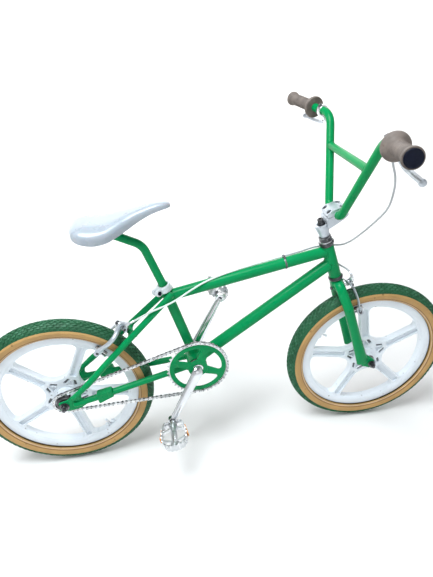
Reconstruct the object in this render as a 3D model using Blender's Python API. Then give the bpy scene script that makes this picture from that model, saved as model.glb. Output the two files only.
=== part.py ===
"""A 20 inch BMX bike with five-spoke composite wheels and a one-piece crank.

Metres, +Z up, +X forward, +Y to the rider's left. The origin is on the ground, midway
between the axles, in the plane of the frame. Every sub-part is one closed solid in its
own object. Pieces that turn hang from an empty on their joint's axis.
"""
import math

import bmesh
import bpy
from mathutils import Matrix, Vector

# ---------------------------------------------------------------- driving dimensions
GAP = 0.0003                 # left between pieces that touch on the real bike

WHEEL_RADIUS = 0.256         # outside of a 20 x 2.125 tyre
TYRE_SECTION = 0.0275        # radius of the tyre's section
TYRE_WALL = 0.0035
WHEELBASE = 0.9355
RIM_EDGE_RADIUS = 0.2090
RIM_HALF_WIDTH = 0.0150
SPOKES = 5
REAR_SPOKE_ANGLE = math.radians(66.1)
FRONT_SPOKE_ANGLE = math.radians(26.9)

HEAD_ANGLE = math.radians(71.0)
FORK_OFFSET = 0.0258         # front axle ahead of the steering axis
STEER_REST = math.radians(-2.67)
HEAD_BOTTOM = 0.3260         # heights along the steering axis, from the fork end
HEAD_TOP = 0.4295
LOCKNUT_TOP = 0.4600
NECK_TOP = 0.4970
EXPANDER_TOP = 0.5125

BB_AHEAD_OF_AXLE = 0.3900
BB_HEIGHT = 0.3200
BB_SHELL_RADIUS = 0.0285
BB_SHELL_HALF = 0.0340
SEAT_ANGLE = math.radians(74.0)
SEAT_TUBE_LENGTH = 0.2740
TOP_TUBE_AT_SEAT = 0.2380    # along the seat tube, from the bottom bracket
TOP_TUBE_AT_HEAD = 0.4105    # along the steering axis
DOWN_TUBE_AT_HEAD = 0.3720

HEAD_TUBE_RADIUS = 0.0172
TOP_TUBE_RADIUS = 0.0159
DOWN_TUBE_RADIUS = 0.0172
SEAT_TUBE_RADIUS = 0.0143
SEAT_POST_RADIUS = 0.0111
SEAT_STAY_RADIUS = 0.0090
CHAIN_STAY_RADIUS = 0.0095
STEERER_RADIUS = 0.0127
FORK_LEG_RADIUS = 0.0143
BAR_RADIUS = 0.0111
CROSSBAR_RADIUS = 0.0100

REAR_DROPOUT_INNER = 0.0550  # half of the 110 mm between the rear dropouts
FRONT_DROPOUT_INNER = 0.0500
DROPOUT_THICKNESS = 0.0050
AXLE_RADIUS = 0.0048
REAR_AXLE_HALF = 0.0800
FRONT_AXLE_HALF = 0.0740

CHAIN_PITCH = 0.0127
RING_TEETH = 44
SPROCKET_TEETH = 16
CHAIN_LINE = -0.0440
RING_ARM_ANGLE = math.radians(-22.0)
CRANK_ANGLE = math.radians(59.7)   # left arm, forward and up
CRANK_LENGTH = 0.1785
PEDAL_TILT = {"right": math.radians(-9.0), "left": math.radians(36.0)}

BAR_CLAMP = (0.0412, 0.5163)       # ahead of and along the steering axis
BAR_TILT = math.radians(25.9)      # bar plane ahead of the steering axis
BAR_RISE = 0.2180
BAR_BASE_HALF = 0.0420
BAR_TOP_HALF = 0.1675
CROSSBAR_RISE = 0.1446
BAR_BACKSWEEP = math.radians(14.5)
BAR_UPSWEEP = 0.0467
GRIP_START_HALF = 0.2450
GRIP_END_HALF = 0.3700

# ---------------------------------------------------------------- derived places
X_AXIS, Y_AXIS, Z_AXIS = Vector((1, 0, 0)), Vector((0, 1, 0)), Vector((0, 0, 1))
REAR_HUB = Vector((-WHEELBASE / 2, 0, WHEEL_RADIUS))
FRONT_HUB_AHEAD = Vector((WHEELBASE / 2, 0, WHEEL_RADIUS))
BOTTOM_BRACKET = REAR_HUB + Vector((BB_AHEAD_OF_AXLE, 0, BB_HEIGHT - WHEEL_RADIUS))
STEER_UP = Vector((-math.cos(HEAD_ANGLE), 0, math.sin(HEAD_ANGLE)))
STEER_AHEAD = Vector((math.sin(HEAD_ANGLE), 0, math.cos(HEAD_ANGLE)))
STEER_FOOT = FRONT_HUB_AHEAD - FORK_OFFSET * STEER_AHEAD
SEAT_UP = Vector((-math.cos(SEAT_ANGLE), 0, math.sin(SEAT_ANGLE)))
SEAT_NODE = BOTTOM_BRACKET + TOP_TUBE_AT_SEAT * SEAT_UP
STAY_UP = (SEAT_NODE - REAR_HUB).normalized()
STAY_BACK = Vector((-STAY_UP.z, 0, STAY_UP.x))
PITCH_RADIUS_RING = CHAIN_PITCH * RING_TEETH / (2 * math.pi)
PITCH_RADIUS_SPROCKET = CHAIN_PITCH * SPROCKET_TEETH / (2 * math.pi)


# ---------------------------------------------------------------- mesh tools
def mesh_from(bm, name="solid"):
    """Closes a bmesh into a mesh whose faces point out."""
    bmesh.ops.remove_doubles(bm, verts=bm.verts, dist=1e-6)
    bmesh.ops.recalc_face_normals(bm, faces=bm.faces)
    mesh = bpy.data.meshes.new(name)
    bm.to_mesh(mesh)
    bm.free()
    return mesh


def loft(rings, closed=False):
    """Skins a list of equal rings of points and caps the two ends."""
    bm = bmesh.new()
    loops = [[bm.verts.new(p) for p in ring] for ring in rings]
    count = len(loops[0])
    pairs = list(zip(loops, loops[1:]))
    if closed:
        pairs.append((loops[-1], loops[0]))
    for low, high in pairs:
        for i in range(count):
            j = (i + 1) % count
            bm.faces.new((low[i], low[j], high[j], high[i]))
    if not closed:
        bm.faces.new(reversed(loops[0]))
        bm.faces.new(loops[-1])
    return mesh_from(bm)


def turned(profile, sides=32, about=Z_AXIS, at=(0, 0, 0), clocking=0.0):
    """Turns a closed profile of (radius, height) points; a solid one starts and ends on the axis."""
    solid = profile[0][0] < 1e-9
    if solid:
        profile = profile[1:-1]
    bm = bmesh.new()
    rings = []
    for radius, height in profile:
        angles = (2 * math.pi * (k + clocking) / sides for k in range(sides))
        rings.append([bm.verts.new((radius * math.cos(a), radius * math.sin(a), height)) for a in angles])
    pairs = list(zip(rings, rings[1:]))
    if solid:
        bm.faces.new(reversed(rings[0]))
        bm.faces.new(rings[-1])
    else:
        pairs.append((rings[-1], rings[0]))
    for low, high in pairs:
        for i in range(sides):
            j = (i + 1) % sides
            bm.faces.new((low[i], low[j], high[j], high[i]))
    mesh = mesh_from(bm)
    mesh.transform(aim(about, at))
    return mesh


def aim(direction, at=(0, 0, 0)):
    """Turns +Z to the direction and moves to the point."""
    return Matrix.Translation(at) @ Vector(direction).to_track_quat("Z", "Y").to_matrix().to_4x4()


def rod(start, end, radius, sides=16, hole=0.0):
    """A straight round bar or tube between two points."""
    start, end = Vector(start), Vector(end)
    length = (end - start).length
    if hole:
        profile = [(hole, 0), (radius, 0), (radius, length), (hole, length)]
    else:
        profile = [(0, 0), (radius, 0), (radius, length), (0, length)]
    return turned(profile, sides, end - start, start)


def swept(path, radius, sides=12, side_on=Y_AXIS, wall=0.0, taper=None, squash=1.0):
    """A round bar or tube along a path.

    side_on is a direction that the path never runs along. taper gives a factor on the
    radius at each point, and squash flattens the section across side_on.
    """
    path = [Vector(p) for p in path]
    rings = []
    for i, point in enumerate(path):
        before = path[max(i - 1, 0)]
        after = path[min(i + 1, len(path) - 1)]
        along = (after - before).normalized()
        across = (side_on - along * side_on.dot(along)).normalized()
        over = along.cross(across)
        reach = radius * (taper[i] if taper else 1.0)
        flat = squash[i] if isinstance(squash, list) else squash
        rings.append((point, across, over * flat, reach))

    def circle(ring, shrink):
        point, across, over, reach = ring
        reach -= shrink
        angles = (2 * math.pi * (k + 0.5) / sides for k in range(sides))
        return [point + across * reach * math.cos(a) + over * reach * math.sin(a) for a in angles]

    outer = [circle(ring, 0.0) for ring in rings]
    if not wall:
        return loft(outer)
    inner = [circle(ring, wall) for ring in reversed(rings)]
    return loft(outer + inner, closed=True)


def prism(outline, low, high, along=Y_AXIS):
    """Extrudes a flat outline; for +Y the outline is in (x, z), for +X in (y, z)."""
    bm = bmesh.new()
    if along == Y_AXIS:
        bottom = [bm.verts.new((x, low, z)) for x, z in outline]
        step = Vector((0, high - low, 0))
    elif along == X_AXIS:
        bottom = [bm.verts.new((low, y, z)) for y, z in outline]
        step = Vector((high - low, 0, 0))
    else:
        bottom = [bm.verts.new((x, y, low)) for x, y in outline]
        step = Vector((0, 0, high - low))
    face = bm.faces.new(bottom)
    raised = bmesh.ops.extrude_face_region(bm, geom=[face], use_keep_orig=True)
    verts = [item for item in raised["geom"] if isinstance(item, bmesh.types.BMVert)]
    bmesh.ops.translate(bm, verts=verts, vec=step)
    return mesh_from(bm)


def rounded(corners, radius, steps=3):
    """Rounds the corners of a closed outline with arcs. radius may be a list."""
    points = [Vector(c) for c in corners]
    radii = radius if isinstance(radius, (list, tuple)) else [radius] * len(points)
    result = []
    for i, corner in enumerate(points):
        result += bend(points[i - 1], corner, points[(i + 1) % len(points)], radii[i], steps)
    return [tuple(p) for p in result]


def bend(before, corner, after, radius, steps):
    """Points of the arc that rounds one corner."""
    if radius <= 0:
        return [corner]
    back = (before - corner).normalized()
    on = (after - corner).normalized()
    angle = back.angle(on)
    reach = radius / math.tan(angle / 2)
    centre = corner + (back + on).normalized() * (radius / math.sin(angle / 2))
    start = corner + back * reach - centre
    end = corner + on * reach - centre
    sweep = math.pi - angle
    points = []
    for k in range(steps + 1):
        t = k / steps
        points.append(centre + (start * math.sin((1 - t) * sweep) + end * math.sin(t * sweep)) / math.sin(sweep))
    return points


def bent_path(corners, radii, steps=5):
    """A path with its inner corners rounded."""
    points = [Vector(c) for c in corners]
    path = [points[0]]
    for i in range(1, len(points) - 1):
        path += bend(points[i - 1], points[i], points[i + 1], radii[i - 1], steps)
    return path + [points[-1]]


def smooth_path(points, step):
    """Points at about equal steps along a smooth curve through the given points."""
    points = [Vector(p) for p in points]
    ends = [2 * points[0] - points[1]] + points + [2 * points[-1] - points[-2]]
    fine = []
    for i in range(1, len(ends) - 2):
        a, b, c, d = ends[i - 1:i + 3]
        for k in range(12):
            t = k / 12
            fine.append(0.5 * (2 * b + (c - a) * t + (2 * a - 5 * b + 4 * c - d) * t ** 2
                               + (3 * b - a - 3 * c + d) * t ** 3))
    fine.append(points[-1])
    lengths = [0.0]
    for a, b in zip(fine, fine[1:]):
        lengths.append(lengths[-1] + (b - a).length)
    count = max(2, round(lengths[-1] / step))
    path, i = [], 0
    for k in range(count + 1):
        want = lengths[-1] * k / count
        while i < len(fine) - 2 and lengths[i + 1] < want:
            i += 1
        share = (want - lengths[i]) / max(lengths[i + 1] - lengths[i], 1e-9)
        path.append(fine[i].lerp(fine[i + 1], share))
    return path


def combine(operation, base, tools):
    """Applies exact Booleans to meshes and returns the resulting mesh."""
    scene = bpy.context.scene
    body = bpy.data.objects.new("boolean_body", base)
    scene.collection.objects.link(body)
    helpers = []
    for tool in tools:
        helper = bpy.data.objects.new("boolean_tool", tool)
        scene.collection.objects.link(helper)
        helpers.append(helper)
        modifier = body.modifiers.new("combine", "BOOLEAN")
        modifier.operation = operation
        modifier.solver = "EXACT"
        modifier.object = helper
    graph = bpy.context.evaluated_depsgraph_get()
    result = bpy.data.meshes.new_from_object(body.evaluated_get(graph))
    for item in [body] + helpers:
        bpy.data.objects.remove(item)
    bm = bmesh.new()
    bm.from_mesh(result)
    bmesh.ops.remove_doubles(bm, verts=bm.verts, dist=1e-5)
    bmesh.ops.dissolve_limit(bm, angle_limit=math.radians(0.2), verts=bm.verts, edges=bm.edges)
    bm.to_mesh(result)
    bm.free()
    return result


def cut(base, *tools):
    return combine("DIFFERENCE", base, tools)


def join(base, *tools):
    return combine("UNION", base, tools)


def moved(mesh, matrix):
    copy = mesh.copy()
    copy.transform(matrix)
    if matrix.determinant() < 0:
        copy.flip_normals()
    return copy


# ---------------------------------------------------------------- scene tools
PALETTE = {
    # slot: colour, roughness, metallic
    "frame_paint": ((0.010, 0.300, 0.075), 0.25, 0.2),
    "bar_paint": ((0.008, 0.270, 0.070), 0.25, 0.2),
    "white_composite": ((0.80, 0.84, 0.87), 0.40, 0.0),
    "tread_rubber": ((0.012, 0.070, 0.035), 0.75, 0.0),
    "inner_rubber": ((0.03, 0.03, 0.03), 0.70, 0.0),
    "chrome": ((0.78, 0.80, 0.83), 0.12, 1.0),
    "silver_alloy": ((0.72, 0.76, 0.80), 0.30, 1.0),
    "dark_steel": ((0.07, 0.07, 0.08), 0.35, 0.9),
    "grip_rubber": ((0.34, 0.29, 0.24), 0.70, 0.0),
    "plug_plastic": ((0.010, 0.012, 0.035), 0.40, 0.0),
    "saddle_plastic": ((0.78, 0.81, 0.85), 0.45, 0.0),
    "cable_housing": ((0.45, 0.46, 0.48), 0.40, 0.0),
    "white_housing": ((0.75, 0.85, 0.80), 0.40, 0.0),
}


def material(slot):
    if slot in bpy.data.materials:
        return bpy.data.materials[slot]
    colour, roughness, metallic = PALETTE[slot]
    made = bpy.data.materials.new(slot)
    made.use_nodes = True
    shader = made.node_tree.nodes["Principled BSDF"]
    shader.inputs["Base Color"].default_value = (*colour, 1)
    shader.inputs["Roughness"].default_value = roughness
    shader.inputs["Metallic"].default_value = metallic
    made.diffuse_color = (*colour, 1)
    return made


def add(name, mesh, slot, parent=None):
    """Puts a mesh, given in its parent's coordinates, into the scene as a sub-part."""
    mesh.name = name
    mesh.materials.clear()
    mesh.materials.append(material(slot))
    mesh.shade_smooth()
    mesh.set_sharp_from_angle(angle=math.radians(32))
    part = bpy.data.objects.new(name, mesh)
    bpy.context.scene.collection.objects.link(part)
    part.parent = parent
    return part


def pivot(name, matrix, parent=None):
    """An empty on a joint's axis; the matrix is in the parent's coordinates."""
    empty = bpy.data.objects.new(name, None)
    empty.empty_display_size = 0.03
    bpy.context.scene.collection.objects.link(empty)
    empty.parent = parent
    empty.matrix_local = matrix
    return empty


def clear_scene():
    for item in list(bpy.data.objects):
        bpy.data.objects.remove(item)


# ---------------------------------------------------------------- main frame
def main_frame():
    head_low = STEER_FOOT + HEAD_BOTTOM * STEER_UP
    head_high = STEER_FOOT + HEAD_TOP * STEER_UP
    seat_high = BOTTOM_BRACKET + SEAT_TUBE_LENGTH * SEAT_UP
    top_at_head = STEER_FOOT + TOP_TUBE_AT_HEAD * STEER_UP
    down_at_head = STEER_FOOT + DOWN_TUBE_AT_HEAD * STEER_UP
    half_shell = BB_SHELL_HALF * Y_AXIS

    head_space = rod(head_low - 0.05 * STEER_UP, head_high + 0.05 * STEER_UP, HEAD_TUBE_RADIUS + GAP, 24)
    shell_space = rod(BOTTOM_BRACKET - 2 * half_shell, BOTTOM_BRACKET + 2 * half_shell, BB_SHELL_RADIUS + GAP, 24)
    seat_space = rod(BOTTOM_BRACKET, seat_high + 0.05 * SEAT_UP, SEAT_TUBE_RADIUS + GAP, 24)

    add("head_tube", rod(head_low, head_high, HEAD_TUBE_RADIUS, 24, HEAD_TUBE_RADIUS - 0.0017), "frame_paint")
    add("bottom_bracket_shell",
        rod(BOTTOM_BRACKET - half_shell, BOTTOM_BRACKET + half_shell, BB_SHELL_RADIUS, 24, 0.0258), "frame_paint")
    seat_tube = rod(BOTTOM_BRACKET, seat_high, SEAT_TUBE_RADIUS, 20, 0.0116)
    add("seat_tube", cut(seat_tube, shell_space.copy()), "frame_paint")
    top_tube = rod(SEAT_NODE, top_at_head, TOP_TUBE_RADIUS, 20, TOP_TUBE_RADIUS - 0.0012)
    add("top_tube", cut(top_tube, head_space.copy(), seat_space.copy()), "frame_paint")
    down_tube = rod(BOTTOM_BRACKET, down_at_head, DOWN_TUBE_RADIUS, 20, DOWN_TUBE_RADIUS - 0.0012)
    down_tube = cut(down_tube, head_space, shell_space, rod(BOTTOM_BRACKET, seat_high, SEAT_TUBE_RADIUS + GAP, 24))
    add("down_tube", down_tube, "frame_paint")


def stay_point(along, back=0.0, side=0.0):
    """A point by its distance from the rear hub along the seat stays, behind them, and to the left."""
    return REAR_HUB + along * STAY_UP + back * STAY_BACK + side * Y_AXIS


BRIDGE_ALONG = 0.2830
# (distance from the hub, half spread) of the seat stays
STAY_SPREAD = [(0.0400, 0.0600), (0.1150, 0.0580), (0.1650, 0.0470), (0.4490, 0.0225)]


def seat_stays():
    """Both seat stays and the brake bridge, welded into one piece."""
    stays = []
    for side in (-1, 1):
        corners = [stay_point(along, 0, side * half) for along, half in STAY_SPREAD]
        corners[-1] = corners[-1] + Vector((0, 0, 0.0060))
        stays.append(swept(bent_path(corners, [0.25, 0.25], 2), SEAT_STAY_RADIUS, 12))
    reach = 0.0367
    bridge = rod(stay_point(BRIDGE_ALONG, 0, -reach), stay_point(BRIDGE_ALONG, 0, reach), 0.0070, 12)
    both = join(stays[0], stays[1], bridge)
    space = rod(BOTTOM_BRACKET, SEAT_NODE + 0.1 * SEAT_UP, SEAT_TUBE_RADIUS + GAP, 24)
    tube_space = rod(SEAT_NODE - 0.02 * X_AXIS, SEAT_NODE + 0.2 * X_AXIS + Vector((0, 0, 0.04)),
                     TOP_TUBE_RADIUS + 2 * GAP, 24)
    bolt_space = rod(stay_point(BRIDGE_ALONG, -0.03), stay_point(BRIDGE_ALONG, 0.03), 0.0036, 12)
    add("seat_stays", cut(both, space, tube_space, bolt_space), "frame_paint")


def dropout_outline():
    """The rear dropout in (x, z) from the hub: a plate with a slot that opens to the rear."""
    stay = math.atan2(STAY_UP.z, STAY_UP.x)
    plate = [(-0.017, 0.0130), (-0.017, 0.0052), (0.0050, 0.0052), (0.0050, -0.0052), (-0.017, -0.0052),
             (-0.017, -0.0125), (-0.002, -0.0165), (0.020, -0.0170), (0.046, -0.0115),
             (0.0660, 0.0020), (0.0660, 0.0160), (0.0500, 0.0200),
             (0.0720 * math.cos(stay), 0.0720 * math.sin(stay) - 0.004),
             (0.0600 * math.cos(stay) - 0.005, 0.0600 * math.sin(stay) + 0.005), (0.012, 0.0200)]
    return plate


def chain_stay(side, name):
    """One chain stay with its flattened heel and the dropout plate welded to it."""
    def point(ahead):
        share = ahead / BB_AHEAD_OF_AXLE
        spread = 0.0235 + 0.0385 * (0.3600 - ahead) / 0.3400
        return REAR_HUB + Vector((ahead, side * spread, (BB_HEIGHT - WHEEL_RADIUS) * share - 0.001))

    stay = rod(point(0.036), point(BB_AHEAD_OF_AXLE), CHAIN_STAY_RADIUS, 14)
    inner = REAR_DROPOUT_INNER
    outer = REAR_DROPOUT_INNER + DROPOUT_THICKNESS
    low, high = sorted((side * inner, side * outer))
    plate = moved(prism(dropout_outline(), low, high), Matrix.Translation(REAR_HUB))
    heel = rounded([(0.0930, 0.0330), (0.1370, 0.0400), (0.1420, 0.0150), (0.0890, -0.0170)], 0.004, 2)
    low, high = sorted((side * 0.0420, side * 0.0630))
    heel = moved(prism(heel, low, high), Matrix.Translation(REAR_HUB))
    shell_space = rod(BOTTOM_BRACKET - 0.1 * Y_AXIS, BOTTOM_BRACKET + 0.1 * Y_AXIS, BB_SHELL_RADIUS + GAP, 24)
    stay_space = rod(stay_point(0.0385, 0, side * 0.0600), stay_point(0.110, 0, side * 0.0582),
                     SEAT_STAY_RADIUS + 0.0006, 16)
    add(name, cut(join(stay, plate, heel), shell_space, stay_space), "frame_paint")


CLAMP_TURN = math.radians(35)       # the collar's bolt sits behind the tube, turned to the right
POST_LEAN = math.radians(19)        # the post's straight part, from the vertical
POST_SET_BACK = math.radians(27)    # its rear part, above the horizontal


def seat_group():
    """Seat collar, the laid-back seat post, the saddle clamp and the saddle."""
    low = BOTTOM_BRACKET + 0.2565 * SEAT_UP
    high = BOTTOM_BRACKET + 0.2760 * SEAT_UP
    collar = rod(low, high, 0.0200, 20)
    seat_ahead = Vector((SEAT_UP.z, 0, -SEAT_UP.x))
    place = Matrix.Translation((low + high) / 2) @ Matrix((seat_ahead, Y_AXIS, SEAT_UP)).transposed().to_4x4()
    ear = prism(rounded([(-0.0350, -0.0090), (-0.0100, -0.0090), (-0.0100, 0.0090), (-0.0350, 0.0090)], 0.0035, 2),
                -0.0120, 0.0120)
    collar = join(collar, moved(ear, place @ Matrix.Rotation(CLAMP_TURN, 4, "Z")))
    bore = rod(low - 0.01 * SEAT_UP, high + 0.01 * SEAT_UP, SEAT_TUBE_RADIUS + GAP, 20)
    add("seat_clamp", cut(collar, bore), "silver_alloy")

    start = BOTTOM_BRACKET + 0.2850 * SEAT_UP
    knee = start + 0.1180 * Vector((-math.sin(POST_LEAN), 0, math.cos(POST_LEAN)))
    set_back = Vector((-math.cos(POST_SET_BACK), 0, math.sin(POST_SET_BACK)))
    post = bent_path([BOTTOM_BRACKET + 0.1700 * SEAT_UP, start, knee, knee + 0.1150 * set_back], [0.20, 0.050], 5)
    add("seat_post", swept(post, SEAT_POST_RADIUS, 16), "frame_paint")

    clamp_at = knee + 0.0980 * set_back
    body = rod(clamp_at - 0.0300 * Y_AXIS, clamp_at + 0.0300 * Y_AXIS, 0.0180, 20)
    bore = rod(clamp_at - 0.08 * set_back, clamp_at + 0.08 * set_back, SEAT_POST_RADIUS + GAP, 20)
    bolt = rod(clamp_at - 0.0380 * Y_AXIS, clamp_at - 0.0290 * Y_AXIS, 0.0080, 6)
    nut = rod(clamp_at + 0.0290 * Y_AXIS, clamp_at + 0.0380 * Y_AXIS, 0.0080, 6)
    add("saddle_clamp", cut(join(body, bolt, nut), bore), "dark_steel")
    add("saddle", saddle(clamp_at), "saddle_plastic")


def saddle(clamp_at):
    """A one-piece moulded saddle: a crowned shell with a rim that turns down, open below."""
    # station: ahead of the rear hub, top height, half width, skirt depth at the side
    stations = [(0.107, 0.7720, 0.0300, 0.0150), (0.116, 0.7800, 0.0560, 0.0260), (0.132, 0.7835, 0.0710, 0.0330),
                (0.160, 0.7825, 0.0770, 0.0360), (0.190, 0.7835, 0.0735, 0.0350), (0.215, 0.7895, 0.0610, 0.0340),
                (0.240, 0.7965, 0.0450, 0.0320), (0.270, 0.8045, 0.0310, 0.0260), (0.300, 0.8115, 0.0240, 0.0200),
                (0.325, 0.8160, 0.0205, 0.0170), (0.342, 0.8160, 0.0170, 0.0140), (0.351, 0.8110, 0.0100, 0.0080)]
    wall = 0.0045
    rings = []
    for ahead, top, half, depth in stations:
        x = REAR_HUB.x + ahead
        outer, inner = [], []
        for k in range(9):
            turn = math.pi * k / 8
            side, lift = math.cos(turn), math.sin(turn)
            y = half * math.copysign(abs(side) ** 0.62, side)
            z = top - depth * (1 - lift ** 0.55)
            outer.append(Vector((x, y, z)))
            inner.append(Vector((x, y * (1 - wall / half), z - wall * lift)))
        rings.append(outer + inner[::-1])
    pillar = rod(clamp_at + 0.0183 * Z_AXIS, clamp_at + 0.0312 * Z_AXIS, 0.0130, 14)
    return join(loft(rings), pillar)


# ---------------------------------------------------------------- wheels
def tyre():
    """A hollow tyre, open at the rim between its beads."""
    centre = WHEEL_RADIUS - TYRE_SECTION
    inner = TYRE_SECTION - TYRE_WALL
    start = math.radians(-44)
    outer_arc = [start + (math.pi - 2 * start) * k / 8 for k in range(9)]
    profile = [(centre + TYRE_SECTION * math.sin(a), TYRE_SECTION * math.cos(a)) for a in outer_arc]
    profile += [(RIM_EDGE_RADIUS + 0.0006, -0.0118), (0.2040, -0.0116), (0.2040, -0.0085)]
    start = math.radians(-69)
    inner_arc = [math.pi - start - (math.pi - 2 * start) * k / 5 for k in range(6)]
    profile += [(centre + inner * math.sin(a), inner * math.cos(a)) for a in inner_arc]
    profile += [(0.2040, 0.0085), (0.2040, 0.0116), (RIM_EDGE_RADIUS + 0.0006, 0.0118)]
    return turned(profile, 36, Y_AXIS)


def inner_tube(valve_angle):
    """The inflated tube with its valve stem, which passes through the rim."""
    centre, radius = WHEEL_RADIUS - TYRE_SECTION, 0.0170
    angles = [2 * math.pi * k / 6 for k in range(6)]
    ring = turned([(centre + radius * math.cos(a), radius * math.sin(a)) for a in angles], 24, Y_AXIS)
    out = Vector((math.cos(valve_angle), 0, math.sin(valve_angle)))
    return join(ring, rod(out * 0.1580, out * 0.2180, 0.0030, 8))


def spoke_window(angle):
    """One opening between two spokes, in (x, z), with round corners."""
    half = 0.0130
    hub_round, rim_round, rim = 0.0520, 0.0150, 0.1830
    between = math.pi / SPOKES
    inner = half / math.sin(between)
    turn = between - math.asin(half / rim)
    middle = angle + between

    def at(radius, offset):
        return radius * math.cos(middle + offset), radius * math.sin(middle + offset)

    low = at(rim, -turn)
    high = at(rim, turn)
    arc = [at(rim, -turn + 2 * turn * k / 6) for k in range(1, 6)]
    corners = [at(inner, 0), low] + arc + [high]
    return rounded(corners, [hub_round, rim_round] + [0] * 5 + [rim_round], 3)


def mag_wheel(spoke_angle, hub_low, hub_high, stub_high, valve_angle):
    """Rim, five I-section spokes and hub, moulded as one piece."""
    edge, half = RIM_EDGE_RADIUS, RIM_HALF_WIDTH
    disc = turned([(0.0, -0.0110), (0.1840, -0.0110), (0.1880, -half), (edge, -half), (edge, -0.0122),
                   (0.1990, -0.0122), (0.1990, 0.0122), (edge, 0.0122), (edge, half), (0.1880, half),
                   (0.1840, 0.0110), (0.0, 0.0110)], 36, Y_AXIS)
    windows = [prism(spoke_window(spoke_angle + 2 * math.pi * k / SPOKES), -0.02, 0.02) for k in range(SPOKES)]
    hub = turned([(0, hub_low), (0.0200, hub_low), (0.0200, hub_low + 0.012), (0.0300, -0.0180), (0.0300, 0.0180),
                  (0.0200, hub_high - 0.012), (0.0200, hub_high), (0, hub_high)], 20, Y_AXIS, clocking=0.3)
    stub_low = -stub_high if hub_low == -hub_high else hub_low - 0.0002
    stub = rod(stub_low * Y_AXIS, stub_high * Y_AXIS, 0.0088, 14)
    recesses = []
    for k in range(SPOKES):
        turn = Matrix.Rotation(-(spoke_angle + 2 * math.pi * k / SPOKES), 4, "Y")
        channel = rounded([(0.0780, -0.0070), (0.1740, -0.0070), (0.1740, 0.0070), (0.0780, 0.0070)], 0.003, 1)
        recesses.append(moved(prism(channel, 0.0040, 0.02), turn))
        recesses.append(moved(prism(channel, -0.02, -0.0040), turn))
        recesses.append(moved(prism([(0.0400, -0.0110), (0.0640, 0.0), (0.0400, 0.0110)], -0.02, 0.02), turn))
    out = Vector((math.cos(valve_angle), 0, math.sin(valve_angle)))
    valve_hole = rod(out * 0.1700, out * 0.2060, 0.0036, 8)
    bore = rod(-0.08 * Y_AXIS, 0.08 * Y_AXIS, AXLE_RADIUS + GAP, 16)
    body = join(cut(disc, *windows), hub, stub)
    return cut(body, *recesses, valve_hole, bore)


def axle(half):
    return rod(-half * Y_AXIS, half * Y_AXIS, AXLE_RADIUS, 16)


def axle_nut(side, inner):
    """A nut with its washer, on one side of an axle."""
    hold = AXLE_RADIUS + GAP
    face = side * (inner + GAP)
    washer = rod(face * Y_AXIS, (face + side * 0.0020) * Y_AXIS, 0.0115, 16)
    nut = rod((face + side * 0.0010) * Y_AXIS, (face + side * 0.0105) * Y_AXIS, 0.0098, 6)
    both = join(washer, nut)
    return cut(both, rod((face - side * 0.01) * Y_AXIS, (face + side * 0.02) * Y_AXIS, hold, 16))


def wheel(prefix, hub, angle, valve_angle, hub_ends, parent=None):
    axis = pivot(prefix + "_wheel_axis", Matrix.Translation(hub), parent)
    add(prefix + "_mag_wheel", mag_wheel(angle, *hub_ends, valve_angle), "white_composite", axis)
    add(prefix + "_inner_tube", inner_tube(valve_angle), "inner_rubber", axis)
    add(prefix + "_tyre", tyre(), "tread_rubber", axis)


def rear_wheel():
    wheel("rear", REAR_HUB, REAR_SPOKE_ANGLE, math.radians(-54.4), (-0.0368, 0.0460, 0.0540))
    hub = pivot("rear_axle_axis", Matrix.Translation(REAR_HUB))
    outer = REAR_DROPOUT_INNER + DROPOUT_THICKNESS
    add("rear_axle", axle(REAR_AXLE_HALF), "dark_steel", hub)
    add("rear_axle_nut_right", axle_nut(-1, outer), "dark_steel", hub)
    add("rear_axle_nut_left", axle_nut(1, outer), "dark_steel", hub)
    turning = pivot("freewheel_axis", Matrix.Translation(REAR_HUB))
    add("freewheel", freewheel(), "dark_steel", turning)


# ---------------------------------------------------------------- drive
def toothed(teeth, pitch_radius, low, high, tip=0.0028, root=-0.0036):
    """A toothed disc with one point at each tip and each root."""
    outline = []
    for k in range(teeth):
        for turn, radius in ((0.0, root), (0.5, tip)):
            a = 2 * math.pi * (k + turn) / teeth
            outline.append(((pitch_radius + radius) * math.cos(a), (pitch_radius + radius) * math.sin(a)))
    return prism(outline, low, high)


def freewheel():
    disc = toothed(SPROCKET_TEETH, PITCH_RADIUS_SPROCKET, CHAIN_LINE - 0.0010, CHAIN_LINE + 0.0010)
    core = rod(-0.0520 * Y_AXIS, -0.0375 * Y_AXIS, 0.0235, 24)
    bore = rod(-0.06 * Y_AXIS, -0.03 * Y_AXIS, AXLE_RADIUS + GAP, 16)
    return cut(join(core, disc), bore)


def chainring():
    disc = toothed(RING_TEETH, PITCH_RADIUS_RING, CHAIN_LINE - 0.0011, CHAIN_LINE + 0.0011)
    inner_edge, arms = 0.0710, 4
    tools = []
    for k in range(arms):
        middle = RING_ARM_ANGLE + (k + 0.5) * math.pi / 2
        hub_half, rim_half = 0.0150, 0.0085
        start = middle - math.pi / 4 + math.asin(rim_half / inner_edge)
        end = middle + math.pi / 4 - math.asin(rim_half / inner_edge)
        arc = [(inner_edge * math.cos(start + (end - start) * i / 6),
                inner_edge * math.sin(start + (end - start) * i / 6)) for i in range(7)]
        centre = hub_half * math.sqrt(2)
        corners = [(centre * math.cos(middle), centre * math.sin(middle))] + arc
        tools.append(prism(rounded(corners, [0.010, 0.006] + [0] * 5 + [0.006], 3), -0.06, -0.03))
    centre_disc = rod((CHAIN_LINE - 0.0011) * Y_AXIS, (CHAIN_LINE + 0.0011) * Y_AXIS, 0.0290, 24)
    bore = rod(-0.06 * Y_AXIS, -0.03 * Y_AXIS, 0.0130, 16)
    return cut(join(cut(disc, *tools), centre_disc), bore)


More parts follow.
